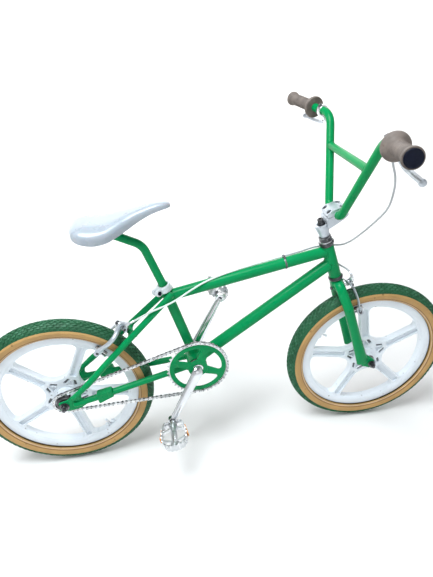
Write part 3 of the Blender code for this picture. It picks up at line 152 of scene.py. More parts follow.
def hexagon(start, end, across, edge=.0006, hole=.0):
    """A nut or a bolt head with its corners turned off at both ends."""
    start, end = Vector(start), Vector(end)
    h = (end - start).length
    inscribed = across / 2
    rings = []
    for height, limit in ((0, inscribed * 1.03),
            (edge, inscribed * 1.16), (h - edge, inscribed * 1.16), (h, inscribed * 1.03)):
        ring = []
        for k in range(48):
            a = 2 * pi * k / 48
            off = (a + pi / 6) % (pi / 3) - pi / 6
            r = min(inscribed / cos(off), limit)
            ring.append((r * cos(a), r * sin(a), height))
        rings.append(ring)
    if hole:
        for height in (h, 0):
            rings.append([(hole * cos(2 * pi * k / 48), hole * sin(2 * pi * k / 48), height)
                for k in range(48)])
    mesh = loft(rings, closed=bool(hole))
    mesh.transform(aim(end - start, start))
    return mesh


def thread(start, end, radius, pitch=.0012, sides=24):
    """A threaded bar, as a row of fine ridges."""
    start, end = Vector(start), Vector(end)
    h = (end - start).length
    count = max(1, int(h / pitch))
    profile = [(0, 0)]
    for k in range(count):
        profile += [(radius * .9, h * k / count), (radius, h * (k + .5) / count)]
    return turned(profile + [(radius * .9, h), (0, h)], sides, end - start, start)


def swept(path, radius, sides=32, side_on=Y, taper=None, squash=None, dome=False):
    """A bar along a path: taper scales it, squash flattens it and dome rounds its two ends."""
    path = [Vector(p) for p in path]
    rings, last = [], len(path) - 1
    for i, point in enumerate(path):
        along = (path[min(i + 1, last)] - path[max(i - 1, 0)]).normalized()
        across = (side_on - along * side_on.dot(along)).normalized()
        over = along.cross(across)
        reach = radius * (taper[i] if taper else 1.0)
        flat = squash[i] if squash else 1.0

        def circle(scale, ahead=.0):
            turns = [2 * pi * k / sides for k in range(sides)]
            return [point + along * ahead
                + across * reach * scale * cos(t) + over * reach * flat * scale * sin(t) for t in turns]
        steps = ((.35, .94), (.7, .72), (.92, .4))
        if dome and i == 0:
            rings += [circle(s, -reach * flat * f * .6) for s, f in steps]
        rings.append(circle(1.0))
        if dome and i == last:
            rings += [circle(s, reach * flat * f * .6) for s, f in reversed(steps)]
    return loft(rings)


def prism(outline, low, high, along=Y):
    """Extrudes a flat outline: (x, z) for +Y, (y, z) for +X, (x, y) for +Z."""
    axis = [abs(c) > .5 for c in along].index(True)
    return loft([[(*p[:axis], h, *p[axis:]) for p in outline] for h in (low, high)])


def bend(before, corner, after, radius, steps):
    if radius <= 0:
        return [corner]
    back, on = (before - corner).normalized(), (after - corner).normalized()
    angle = back.angle(on)
    centre = corner + (back + on).normalized() * (radius / sin(angle / 2))
    start = corner + back * radius / tan(angle / 2) - centre
    end = corner + on * radius / tan(angle / 2) - centre
    sweep = pi - angle
    return [centre + (start * sin((1 - k / steps) * sweep) + end * sin(k / steps * sweep)) / sin(sweep)
        for k in range(steps + 1)]


def rounded(corners, radius, steps=5):
    points = [Vector(c) for c in corners]
    radii = radius if isinstance(radius, (list, tuple)) else [radius] * len(points)
    result = []
    for i, corner in enumerate(points):
        result += bend(points[i - 1], corner, points[(i + 1) % len(points)], radii[i], steps)
    return [tuple(p) for p in result]


def span(side, near, far):
    """A range on one side of a middle plane, lowest first."""
    return sorted((side * near, side * far))


def facing(side, *profile):
    return [(r, side * h) for r, h in profile]


def mirrored(low_half):
    return low_half + [(r, -h) for r, h in reversed(low_half)]


def oblong(left, low, right, high, radius=0, steps=5):
    corners = [(left, low), (right, low), (right, high), (left, high)]
    return rounded(corners, radius, steps) if radius else corners


def bent_path(corners, radii, steps=10):
    points = [Vector(c) for c in corners]
    path = [points[0]]
    for i in range(1, len(points) - 1):
        path += bend(points[i - 1], points[i], points[i + 1], radii[i - 1], steps)
    return path + [points[-1]]


def between(a, b, c, d, t):
    """A smooth curve from b to c, with a before them and d after."""
    slope, curve, twist = c - a, 2 * a - 5 * b + 4 * c - d, 3 * b - a - 3 * c + d
    return .5 * (2 * b + slope * t + curve * t ** 2 + twist * t ** 3)


def lengths_along(path):
    lengths = [.0]
    for a, b in zip(path, path[1:]):
        lengths.append(lengths[-1] + (b - a).length)
    return lengths


def evenly(path, lengths, count):
    """Splits a path into equal steps; lengths says how far along each of its points is."""
    result, i = [], 0
    for k in range(count + 1):
        want = lengths[-1] * k / count
        while i < len(path) - 2 and lengths[i + 1] < want:
            i += 1
        share = (want - lengths[i]) / max(lengths[i + 1] - lengths[i], 1e-9)
        result.append(path[i].lerp(path[i + 1], share))
    return result


def smooth_path(points, step):
    """Points at about equal steps along a smooth curve through the given points."""
    points = [Vector(p) for p in points]
    ends = [2 * points[0] - points[1]] + points + [2 * points[-1] - points[-2]]
    fine = []
    for i in range(1, len(ends) - 2):
        for k in range(12):
            fine.append(between(*ends[i - 1:i + 3], k / 12))
    fine.append(points[-1])
    lengths = lengths_along(fine)
    return evenly(fine, lengths, max(2, round(lengths[-1] / step)))


def cut(base, *tools):
    """Takes tools out of a mesh with exact Booleans."""
    link = bpy.context.scene.collection.objects.link
    body = bpy.data.objects.new("body", base)
    link(body)
    helpers = []
    for tool in tools:
        helper = bpy.data.objects.new("tool", tool)
        link(helper)
        helpers.append(helper)
        modifier = body.modifiers.new("cut", "BOOLEAN")
        modifier.operation, modifier.solver, modifier.object = "DIFFERENCE", "EXACT", helper
    result = bpy.data.meshes.new_from_object(body.evaluated_get(bpy.context.evaluated_depsgraph_get()))
    for item in [body] + helpers:
        bpy.data.objects.remove(item)
    bm = bmesh.new()
    bm.from_mesh(result)
    bmesh.ops.remove_doubles(bm, verts=bm.verts, dist=1e-5)
    bmesh.ops.dissolve_limit(bm, angle_limit=radians(.2), verts=bm.verts, edges=bm.edges)
    bm.to_mesh(result)
    bm.free()
    return result


def eased(mesh, width=.0006, segments=2, angle=35):
    """Rounds the sharp edges of a mesh."""
    bm = bmesh.new()
    bm.from_mesh(mesh)
    sharp = [e for e in bm.edges if e.is_manifold and e.calc_face_angle(0) > radians(angle)]
    bmesh.ops.bevel(bm,
        geom=sharp, offset=width, segments=segments, profile=.6, affect="EDGES", clamp_overlap=True)
    bm.to_mesh(mesh)
    bm.free()
    return mesh


def moved(mesh, matrix):
    copy = mesh.copy()
    copy.transform(matrix)
    if matrix.determinant() < 0:
        copy.flip_normals()
    return copy


def weld(centre, direction, radius, other, other_way, other_radius, size=.0021, pitch=.0034):
    """A rippled bead where one tube meets another."""
    way, other_way = Vector(direction).normalized(), Vector(other_way).normalized()
    u = way.orthogonal().normalized()
    v = way.cross(u)
    path, outs = [], []
    for k in range(144):
        a = 2 * pi * k / 144
        out = u * cos(a) + v * sin(a)
        base = Vector(centre) + out * radius
        w = base - Vector(other)
        w -= other_way * w.dot(other_way)
        d = way - other_way * way.dot(other_way)
        aa, bb, cc = d.dot(d), 2 * w.dot(d), w.dot(w) - other_radius ** 2
        t = (-bb + sqrt(max(bb * bb - 4 * aa * cc, 0))) / (2 * aa)
        path.append(base + way * t)
        outs.append(out)
    rings, run = [], .0
    for k, point in enumerate(path):
        along = (path[(k + 1) % 144] - path[k - 1]).normalized()
        across = (outs[k] - along * outs[k].dot(along)).normalized()
        over = along.cross(across)
        run += (path[k] - path[k - 1]).length if k else .0
        r = size * (1.0 + .16 * sin(2 * pi * run / pitch))
        rings.append([point + (across * cos(2 * pi * i / 10) + over * sin(2 * pi * i / 10)) * r
            for i in range(10)])
    return loft(rings, closed=True)


# ---------------------------------------------------------------- finishes
def surface(name, colour, roughness, metallic, vary, blotch, rough_vary, grain,
        bump, depth=.0002, worn=None, worn_from=.53, speck=None, threads=None, stretch=None, **fixed):
    """A procedural finish: colour drift, uneven gloss, a fine grain, and worn or dusty edges."""
    made = bpy.data.materials.new(name)
    made.use_nodes = True
    tree = made.node_tree
    shader = tree.nodes["Principled BSDF"]
    for key, value in fixed.items():
        shader.inputs[key.replace("_", " ")].default_value = value
    shader.inputs["Metallic"].default_value = metallic
    node, link = tree.nodes.new, tree.links.new
    place = node("ShaderNodeTexCoord").outputs["Object"]

    def noise(scale, detail=4.0, vector=place):
        found = node("ShaderNodeTexNoise")
        found.inputs["Scale"].default_value = scale
        found.inputs["Detail"].default_value = detail
        link(vector, found.inputs["Vector"])
        return found.outputs["Fac"]

    def ranged(value, low, high, to_low, to_high):
        found = node("ShaderNodeMapRange")
        for socket, number in zip(("From Min", "From Max", "To Min", "To Max"),
                (low, high, to_low, to_high)):
            found.inputs[socket].default_value = number
        link(value, found.inputs["Value"])
        return found.outputs["Result"]

    def mixed(share, one, two):
        found = node("ShaderNodeMix")
        found.data_type = "RGBA"
        link(share, found.inputs["Factor"])
        for socket, value in (("A", one), ("B", two)):
            target = [s for s in found.inputs if s.name == socket and s.type == "RGBA"][0]
            if isinstance(value, tuple):
                target.default_value = (*value, 1)
            else:
                link(value, target)
        return [s for s in found.outputs if s.type == "RGBA"][0]

    def product(one, two):
        found = node("ShaderNodeMath")
        found.operation = "MULTIPLY"
        link(one, found.inputs[0])
        link(two, found.inputs[1])
        return found.outputs[0]

    low = tuple(c * (1 - vary) for c in colour)
    high = tuple(min(c * (1 + vary), 1.0) for c in colour)
    tint = mixed(ranged(noise(blotch), .35, .65, 0, 1), low, high)
    gloss = ranged(noise(blotch * 3.1, 8.0), .3, .7, roughness - rough_vary, roughness + rough_vary)
    if speck:
        spots = node("ShaderNodeTexVoronoi")
        spots.inputs["Scale"].default_value = speck[1]
        link(place, spots.inputs["Vector"])
        share = product(ranged(spots.outputs["Distance"], .1, .22, 1, 0), ranged(noise(30), .5, .62, 0, 1))
        tint = mixed(share, tint, speck[0])
    if worn:
        edge = ranged(node("ShaderNodeNewGeometry").outputs["Pointiness"], worn_from, worn_from + .05, 0, 1)
        share = product(edge, ranged(noise(60.0, 8.0), .4, .62, 0, 1))
        tint = mixed(share, tint, worn)
    link(tint, shader.inputs["Base Color"])
    link(gloss, shader.inputs["Roughness"])
    fine = place
    if stretch:
        mapping = node("ShaderNodeMapping")
        mapping.inputs["Scale"].default_value = stretch
        link(place, mapping.inputs["Vector"])
        fine = mapping.outputs["Vector"]
    height = noise(grain, 3.0, fine)
    if threads:
        weave = node("ShaderNodeTexWave")
        weave.wave_type = "RINGS"
        weave.rings_direction = "Y"
        weave.inputs["Scale"].default_value = threads
        link(place, weave.inputs["Vector"])
        height = product(height, weave.outputs["Fac"])
    bumped = node("ShaderNodeBump")
    bumped.inputs["Strength"].default_value = bump
    bumped.inputs["Distance"].default_value = depth
    link(height, bumped.inputs["Height"])
    link(bumped.outputs["Normal"], shader.inputs["Normal"])
    return made


# name, colour, roughness, metal, colour drift, its scale, gloss drift, grain scale, bump
PAINT = surface("green_paint", (.0, .262, .08),
    .3, .0, .06, 7, .05, 260, .06, Specular_IOR_Level=.12, Coat_Weight=.04, Coat_Roughness=.08)
BAR_PAINT = surface("bar_green_paint", (.0, .25, .07),
    .3, .0, .06, 8, .05, 260, .06, Specular_IOR_Level=.12, Coat_Weight=.04, Coat_Roughness=.09)
COMPOSITE = surface("white_composite", (.8, .86, .915),
    .36, .0, .04, 12, .08, 420, .12, speck=((.42, .44, .45), 60.0), Coat_Weight=.15, Coat_Roughness=.3)
# painted shade: dark grey for the floors of the small wheel pockets, standing for the shade inside them
PAINTED_RECESS_SHADE = surface("recess_shade", (.15, .16, .17), .55, .0, .12, 40, .06, 500, .2)
SADDLE_SHELL = surface("saddle_plastic", (.37, .42, .47), .3, .0,
    .03, 10, .07, 700, .1, Coat_Weight=.35, Coat_Roughness=.15, Subsurface_Weight=.12, Subsurface_Scale=.01)
TAN = surface("tan_sidewall",
    (.48, .285, .1), .62, .0, .1, 16, .08, 900, .35, threads=260.0, speck=((.22, .13, .05), 50.0))
# painted shade: dark brown standing for the shadow in the groove beside the tyre bead
TAN_GROOVE_SHADE = surface("tan_painted_groove_shade", (.2, .095, .04), .62, .0, .12, 20, .06, 900, .3)
TAN_PALE = surface("tan_pale", (.66, .5, .34), .6, .0, .1, 20, .06, 900, .3)
TREAD = surface("tread_rubber", (.008, .098, .036),
    .62, .0, .16, 22, .1, 800, .35, worn=(.04, .17, .085), worn_from=.54, speck=((.05, .13, .08), 120.0))
RUBBER = surface("black_rubber", (.018, .018, .019), .65, .0, .2, 40, .06, 800, .3)
CHROME = surface("chrome", (.8, .82, .85), .17, 1.0, .06, 18, .05, 900, .03, speck=((.22, .2, .18), 140.0))
ALLOY = surface("silver_alloy", (.82, .845, .87),
    .29, 1.0, .08, 26, .08, 700, .1, stretch=(1, 1, 6), worn=(.92, .93, .94), worn_from=.54)
CAST = surface("cast_alloy",
    (.56, .605, .655), .4, .7, .08, 30, .08, 600, .14, worn=(.92, .93, .94), worn_from=.54)
CAGE_ALLOY = surface("cage_alloy",
    (.6, .615, .63), .33, 1.0, .12, 40, .08, 700, .1, worn=(.86, .87, .88), worn_from=.54)
CLAMP_ALLOY = surface("clamp_alloy", (.74, .78, .82), .42, .35, .06, 30, .08, 600, .12)
CHAIN_STEEL = surface("chain_steel",
    (.66, .67, .68), .3, 1.0, .25, 60, .1, 900, .15, speck=((.12, .09, .07), 160.0))
STEEL = surface("dark_steel",
    (.075, .077, .082), .36, .85, .22, 60, .1, 900, .15, worn=(.32, .32, .33), worn_from=.54)
BLACKENED = surface("blackened_steel",
    (.016, .013, .012), .42, .2, .3, 60, .06, 900, .2, worn=(.1, .09, .085), Specular_IOR_Level=.35)
GRIP = surface("grip_rubber",
    (.16, .13, .112), .66, .0, .2, 40, .08, 900, .35, speck=((.14, .1, .075), 90.0))
PLUG = surface("plug_plastic", (.004, .006, .016), .5, .0, .2, 60, .06, 800, .15, Specular_IOR_Level=.15)
DARK_HOUSING = surface("cable_housing", (.46, .48, .5), .38, .0, .1, 30, .06, 1200, .15)
PALE_HOUSING = surface("white_housing", (.72, .82, .77), .36, .0, .06, 30, .06, 1200, .15)
AMBER = surface("amber_reflector",
    (.82, .3, .035), .22, .0, .14, 120, .06, 420, .8, depth=.0006, Coat_Weight=.6, Coat_Roughness=.08)
FINISH = {"frame_paint": PAINT,
    "bar_paint": BAR_PAINT, "white_composite": COMPOSITE, "tread_rubber": TREAD, "inner_rubber": RUBBER,
    "chrome": CHROME, "silver_alloy": ALLOY, "dark_steel": STEEL, "grip_rubber": GRIP, "plug_plastic": PLUG,
    "saddle_plastic": SADDLE_SHELL, "cable_housing": DARK_HOUSING, "white_housing": PALE_HOUSING}


def dressed(finish, place, *meshes):
    return [(moved(mesh, place), finish) for mesh in meshes]


def coated(finish, *meshes):
    return [(mesh, finish) for mesh in meshes]


def placed(parts, place):
    return [(moved(mesh, place), finish) for mesh, finish in parts]


def piece(node, parts, body, shown=None, rides=True):
    """The visible object for one CAD node, from (mesh, finish) pairs that are already in place."""
    bm, finishes = bmesh.new(), []
    for mesh, finish in parts:
        if finish not in finishes:
            finishes.append(finish)
        start = len(bm.faces)
        bm.from_mesh(mesh)
        bm.faces.ensure_lookup_table()
        for face in bm.faces[start:]:
            face.material_index = finishes.index(finish)
    name = "visual_" + (shown or node)
    mesh = bpy.data.meshes.new(name)
    bm.to_mesh(mesh)
    bm.free()
    for finish in finishes:
        mesh.materials.append(finish)
    mesh.shade_smooth()
    mesh.set_sharp_from_angle(angle=radians(34))
    made = bpy.data.objects.new(name, mesh)
    bpy.context.scene.collection.objects.link(made)
    if rides:
        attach(made, body)
    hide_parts(node)
    return made


# ---------------------------------------------------------------- main frame
def stay_point(along, back=.0, side=.0):
    return REAR_HUB + along * STAY_UP + back * STAY_BACK + side * Y


def main_frame():
    low, high = STEER_FOOT + .326 * STEER_UP, STEER_FOOT + .4295 * STEER_UP
    head = turned([(.0155, 0), (.0168, 0), (.0172, .0006), (.0172, .1029), (.0168, .1035), (.0155, .1035)],
        64, STEER_UP, low)
    piece("head_tube", [(head, PAINT)], "main_frame")
    shell = rod(BRACKET - .034 * Y, BRACKET + .034 * Y, SHELL, 64, .0258, .0008)
    piece("bottom_bracket_shell", [(shell, PAINT)], "main_frame")
    seat_top = BRACKET + .274 * SEAT_UP
    seat = rod(BRACKET + .027 * SEAT_UP, seat_top, SEAT_TUBE, 56, .012, .0005)
    bead = weld(BRACKET, SEAT_UP, SEAT_TUBE, BRACKET, Y, SHELL)
    piece("seat_tube", coated(PAINT, seat, bead), "main_frame")
    at_head = STEER_FOOT + TOP_JOINT * STEER_UP
    way = (at_head - SEAT_NODE).normalized()
    top = rod(SEAT_NODE + .004 * way, at_head - .008 * way, TOP_TUBE, 64)
    beads = [weld(at_head, -way, TOP_TUBE, at_head, STEER_UP, HEAD_TUBE),
        weld(SEAT_NODE, way, TOP_TUBE, SEAT_NODE, SEAT_UP, SEAT_TUBE)]
    piece("top_tube", coated(PAINT, top, *beads), "main_frame")
    at_head = STEER_FOOT + DOWN_JOINT * STEER_UP
    way = (at_head - BRACKET).normalized()
    down = rod(BRACKET + .022 * way, at_head - .008 * way, DOWN_TUBE, 64)
    beads = [weld(at_head, -way, DOWN_TUBE, at_head, STEER_UP, HEAD_TUBE),
        weld(BRACKET, way, DOWN_TUBE, BRACKET, Y, SHELL)]
    piece("down_tube", coated(PAINT, down, *beads), "main_frame")


def seat_stays():
    parts = []
    for side in (-1, 1):
        corners = [stay_point(a, 0, side * half)
            for a, half in ((.04, .06), (.115, .058), (.165, .047), (.449, .0225))]
        corners[-1] += Vector((0, 0, .006))
        path = bent_path(corners, [.25, .25], 8)
        taper = [.8] + [.92] + [1.0] * (len(path) - 2)
        parts.append(swept(path, .009, 36, taper=taper, dome=True))
        rim = path[-1] - (path[-1] - path[-2]).normalized() * .01
        parts.append(weld(rim - .02 * SEAT_UP, path[-1] - path[-2], .0092, rim, Y, .0004, .0006, .01))
    parts.append(rod(stay_point(BRIDGE_ALONG, 0, -.034), stay_point(BRIDGE_ALONG, 0, .034), .007, 40))
    for side in (-1, 1):
        parts.append(weld(stay_point(BRIDGE_ALONG), -side * Y,
            .007, stay_point(BRIDGE_ALONG, 0, side * .0367), STAY_UP, .0092, .0016))
    parts.append(rod(stay_point(BRIDGE_ALONG, -.009),
        stay_point(BRIDGE_ALONG, .009), .0078, 32, .0036, .0006))
    piece("seat_stays", coated(PAINT, *parts), "main_frame")


def chain_stays():
    stay = atan2(STAY_UP.z, STAY_UP.x)
    plate = [(-.015, .0125), (-.015, .0052),
        (.005, .0052), (.005, -.0052), (-.015, -.0052), (-.015, -.0125), (-.002, -.0165), (.02, -.017),
        (.046, -.0115), (.066, .002), (.066, .016), (.05, .02), (.072 * cos(stay), .072 * sin(stay) - .004),
        (.06 * cos(stay) - .005, .06 * sin(stay) + .005), (.01, .0195)]
    outline = rounded(plate,
        [.003, .001, .0049, .0049, .001, .003, .015, .02, .02, .004, .004, .006, .003, .003, .02], 4)
    for side, name in SIDES:
        def point(ahead):
            spread = .0235 + .0385 * (.36 - ahead) / .34
            return REAR_HUB + Vector((ahead, side * spread, .064 * ahead / .39 - .001))
        leaf = eased(moved(prism(outline, *span(side, .055, .06)), shift(REAR_HUB)), .0008)
        leaf = cut(leaf,
            rod(REAR_HUB + Vector((.03, -.08, .0125)), REAR_HUB + Vector((.03, .08, .0125)), .0026, 24))
        heel = rounded([(.093, .031), (.137, .04), (.142, .015), (.097, -.006)], .005, 6)
        heel = eased(moved(prism(heel, *span(side, .042, .063)), shift(REAR_HUB)), .004, 5)
        taper = [.78, .92, 1.0, 1.0, 1.0, 1.0, 1.0, 1.0, .96]
        tube = swept([point(.03)] + [point(.044 + .333 * k / 7) for k in range(8)],
            .0095, 40, taper=taper, dome=True)
        bead = weld(point(.39), point(.1) - point(.39), .0093, BRACKET, Y, SHELL, .0018)
        ring = weld(point(.12), point(.39) - point(.1), .0096, point(.1395), Z, .001, .0012)
        piece("chain_stay_" + name,
            coated(PAINT, leaf, heel, tube, bead, ring), "main_frame")


def seat_group():
    low = BRACKET + .2565 * SEAT_UP
    seat_ahead = Vector((SEAT_UP.z, 0, -SEAT_UP.x))
    place = frame_at(low, seat_ahead, Y, SEAT_UP) @ spin(radians(35), "Z")
    collar = turned([(.0146, 0), (.0192, 0), (.02, .001), (.0202, .004),
        (.0197, .006), (.0197, .0135), (.0202, .0155), (.02, .0185), (.0192, .0195), (.0146, .0195)], 64)
    ears = [eased(prism(oblong(-.035, .0008, -.01,
        .0187, [.008, .001, .001, .008], 6), *span(s, .0012, .012)), .0012, 3) for s in (-1, 1)]
    bolt = [rod((-.0255, -.0128, .00975), (-.0255, .013, .00975), .0032, 24),
        rod((-.0255, -.014, .00975), (-.0255, -.0115, .00975), .0058, 40, .0026, .0006),
        hexagon((-.0255, .0115, .00975), (-.0255, .015, .00975), .0098)]
    parts = dressed(CLAMP_ALLOY, place, collar, *ears) + dressed(PLUG, place, *bolt)
    piece("seat_clamp", parts, "main_frame")

    start = BRACKET + .285 * SEAT_UP
    knee = start + .118 * Vector((-sin(radians(19)), 0, cos(radians(19))))
    back = Vector((-cos(radians(27)), 0, sin(radians(27))))
    path = bent_path([BRACKET + .17 * SEAT_UP, start, knee, knee + .115 * back], [.2, .05], 20)
    piece("seat_post", [(eased(swept(path, .0111, 56), .0008), PAINT)], "main_frame")

    at = knee + .098 * back
    parts = []
    for s in (-1, 1):
        lugs = facing(s, (0, .012), (.0171, .012), (.0175, .013), (.0175, .02), (.0155, .0215), (0, .0215))
        parts += coated(BLACKENED, turned(lugs, 96, Y, at, lambda a, h: .00045 * sin(24 * a)),
            rod(at + s * .0214 * Y, at + s * .03 * Y, .015, 48, 0, .0012), hexagon(at + s * .03 * Y,
            at + s * .0365 * Y, .0145), thread(at + s * .0364 * Y, at + s * .038 * Y, .0038, .0008))
    parts += coated(BLACKENED, rod(at - .0125 * Y, at + .0125 * Y, .0165, 48, 0, .001))
    piece("saddle_clamp", parts, "main_frame")

    stations = [(.1045, .769, .016, .007), (.1085, .7745, .039, .018), (.116, .78, .056, .026),
        (.132, .7835, .071, .033), (.16, .7825, .077, .036), (.19, .7835, .0735, .035), (.215, .7895, .061,
        .034), (.24, .7965, .045, .032), (.27, .8045, .031, .026), (.3, .8115, .024, .02), (.325, .816,
        .0205, .017), (.342, .816, .0165, .014), (.35, .8118, .0105, .0085), (.353, .807, .0045, .004)]
    fine = []
    padded = [stations[0]] + stations + [stations[-1]]
    for i in range(1, len(padded) - 2):
        for k in range(5):
            fine.append([between(*four, k / 5) for four in zip(*padded[i - 1:i + 3])])
    fine.append(list(stations[-1]))
    rings = []
    for ahead, top, half, depth in fine:
        outer, inner = [], []
        wall = min(.0038, .3 * half)
        for k in range(41):
            turn = pi * k / 40
            side, lift = cos(turn), sin(turn)
            y = half * copysign(abs(side) ** .62, side)
            z = top - depth * (1 - lift ** .55)
            if k in (0, 40):
                outer.append(Vector((REAR_HUB.x + ahead, y, z)))
            outer.append(Vector((REAR_HUB.x + ahead, y, z)))
            inner.append(Vector((REAR_HUB.x + ahead, y * (1 - wall / half), z - wall * (.15 + .85 * lift))))
        rings.append(outer[1:-1] + inner[::-1])
    shell = eased(loft(rings), .0011, 3, 50)
    pillar = turned([(0, .0183),
        (.016, .0183), (.0135, .021), (.013, .025), (.015, .0305), (0, .0312)], 40, Z, at)
    ribs = [prism(oblong(-.04, y - .0014, .06, y + .0014), .0225, .0305, Z) for y in (-.024, .0, .024)]
    parts = coated(SADDLE_SHELL, shell, pillar) + dressed(SADDLE_SHELL, shift(at), *ribs)
    piece("saddle", parts, "main_frame")


# ---------------------------------------------------------------- wheels
def tyre_parts():
    centre = WHEEL_RADIUS - TYRE_SECTION

    def at(angle, radius):
        return centre + radius * sin(angle), radius * cos(angle)
    base = TYRE_SECTION - .0024
    side = [at(radians(-44 + 4 * k), TYRE_SECTION - .0004 - .0018 * max(0, k - 12) / 3) for k in range(16)]
    walls = []
    for s in (1, -1):
        ring = [(r, s * y) for r, y in side] + [(centre + .018, s * .012), (centre - .012, s * .016)]
        walls += coated(TAN, turned(ring, 144, Y))
    arc = [at(radians(12 + 4 * k), base + (.0006 if k in (0, 39) else 0)) for k in range(40)]
    arc = [(r, y) for r, y in arc] + [(centre + .016, -.014), (centre + .016, .014)]
    band = turned(arc, 160, Y)
    blocks = bmesh.new()
    count = 92
    rows = [(.0, .0, 5.0, .0128)]
    for lean, *rest in ((13.5, .5, 5.4, .0118),
            (27.5, .0, 5.4, .0118), (41.5, .5, 5.2, .0112), (54.5, .0, 4.6, .0098), (65.0, .5, 3.2, .0075)):
        rows += [(lean, *rest), (-lean, *rest)]
    for lean, phase, half_lean, length in rows:
        for k in range(count):
            turn = 2 * pi * (k + phase) / count
            levels = []
            skew = copysign(.1, lean) if lean else 0
            for lift, shrink in ((-.0006, 1.0), (.0019, .93), (.0023 if abs(lean) < 50 else .0019, .8)):
                ring = []
                for u, v in ((-1, -1), (1, -1), (1, 1), (-1, 1)):
                    a = radians(90 - lean - u * half_lean * shrink)
                    r, y = at(a, base + lift)
                    around = turn + (v * length * shrink / 2 + u * skew * length) / WHEEL_RADIUS
                    ring.append(blocks.verts.new((r * cos(around), y, r * sin(around))))
                levels.append(ring)
            skin(blocks, levels)
            blocks.faces.new(levels[-1])
    bmesh.ops.recalc_face_normals(blocks, faces=blocks.faces)
    knobs = bpy.data.meshes.new("knobs")
    blocks.to_mesh(knobs)
    blocks.free()
    ribs = []
    for s in (1, -1):
        # the dark brown ring at -26 degrees is painted shade for the shadowed groove next to the bead
        for degrees, size, finish in ((-34, .0011, TAN_PALE), (-26, .0009, TAN_GROOVE_SHADE), (4, .0007, TAN)):
            r, y = at(radians(degrees), TYRE_SECTION - .0006)
            circle = [(r + size * cos(t * pi / 4), s * (y + size * sin(t * pi / 4))) for t in range(8)]
            ribs.append((turned(circle, 144, Y), finish))
    return walls + coated(TREAD, band, knobs) + ribs


def wheel_window(angle):
    half, rim = .013, .183
    share = pi / SPOKES
    turn = share - asin(half / rim)
    middle = angle + share

    def at(radius, offset):
        return radius * cos(middle + offset), radius * sin(middle + offset)
    arc = [at(rim, -turn + 2 * turn * k / 20) for k in range(3, 18)]
    corners = [at(half / sin(share), 0), at(rim, -turn)] + arc + [at(rim, turn)]
    return rounded(corners, [.052, .015] + [0] * 15 + [.015], 8)


def wheel_parts(spoke_angle, hub_low, hub_high, stub_high, valve_angle):
    disc = turned(mirrored([(.0, -.011), (.1825, -.011), (.1845, -.0116), (.1875, -.0146), (.189,
        -RIM_HALF), (.2065, -RIM_HALF), (RIM_EDGE, -.0146), (RIM_EDGE, -.0122), (.199, -.0122)]), 120, Y)
    windows = [prism(wheel_window(spoke_angle + 2 * pi * k / SPOKES), -.02, .02) for k in range(SPOKES)]
    web = eased(cut(disc, *windows), .0022, 3, 50)
    recesses, inlays = [], []
    for k in range(SPOKES):
        turn = spin(-(spoke_angle + 2 * pi * k / SPOKES), "Y")

        def plate(outline, side, near, far):
            return moved(prism(outline, *span(side, near, far)), turn)
        channel = rounded([(.072, -.009), (.177, -.0082), (.177, .0082), (.072, .009)], .0035, 5)
        for s in (-1, 1):
            recesses.append(plate(channel, s, .004, .02))
            rib = oblong(.074, -.0008, .175, .0008)
            inlays += coated(COMPOSITE, plate(channel, s, .0034, .0042), plate(rib, s, .004, .0056))
        triangle = rounded([(.0365, -.0105), (.062, .0), (.0365, .0105)], .0014, 4)
        recesses.append(moved(prism(triangle, -.02, .02), turn))
        small = rounded([(.0405, .013), (.061, .0035), (.06, .0125), (.043, .0215)], .0012, 3)
        for mirror in (1, -1):
            for s in (-1, 1):
                outline = [(x, mirror * z) for x, z in small]
                recesses.append(plate(outline, s, .006, .02))
                # painted shade: thin dark plates on the pocket floors stand for the shade inside the small
                # pockets
                inlays += coated(PAINTED_RECESS_SHADE, plate(outline, s, .0054, .0061))
    valve = Vector((cos(valve_angle), 0, sin(valve_angle)))
    bore = rod(-.08 * Y, .08 * Y, HUB_BORE, 40)
    web = cut(web, *recesses, rod(valve * .17, valve * .206, .0036, 24), bore)
    hub = turned([(HUB_BORE, hub_low),
        (.0185, hub_low), (.02, hub_low + .0015), (.02, hub_low + .011), (.0215, hub_low + .013),
        (.0285, -.018), (.03, -.0165), (.03, .0165), (.0285, .018), (.0215, hub_high - .013),
        (.02, hub_high - .011), (.02, hub_high - .0015), (.0185, hub_high), (HUB_BORE, hub_high)], 72, Y)
    ends = []
    for s, edge in ((-1, hub_low), (1, hub_high)):
        stub = stub_high if s > 0 or hub_low == -hub_high else .0
        if stub:
            ends += coated(STEEL,
                rod(Y * (edge - s * .0004), s * (stub - .001) * Y, .0088, 48, HUB_BORE, .001))
        ends += coated(STEEL, turned([(.0092, edge - s * .0004),
            (.0165, edge - s * .0004), (.016, edge + s * .0008), (.0098, edge + s * .0012)], 56, Y))
    stem = [(thread(valve * .166, valve * .192, .0029, .0009), ALLOY), (rod(valve * .158, valve * .1665,
        .0034, 32, 0, .0008), COMPOSITE), (hexagon(valve * .179, valve * .1815, .0088), ALLOY)]
    lugs = []
    for offset in (-.062, .062):
        out = Vector((cos(valve_angle + offset), 0, sin(valve_angle + offset)))
        lugs += coated(COMPOSITE, rod(out * .173, out * .185, .0058, 32, 0, .0016))
    return coated(COMPOSITE, web, hub) + inlays + ends + lugs, stem


def wheel(prefix, matrix, angle, valve_angle, ends, body):
    web, stem = wheel_parts(angle, *ends, valve_angle)
    piece(prefix + "_mag_wheel", placed(web, matrix), body)
    piece(prefix + "_inner_tube", placed(stem, matrix), body, prefix + "_valve")
    piece(prefix + "_tyre", placed(tyre_parts(), matrix), body)


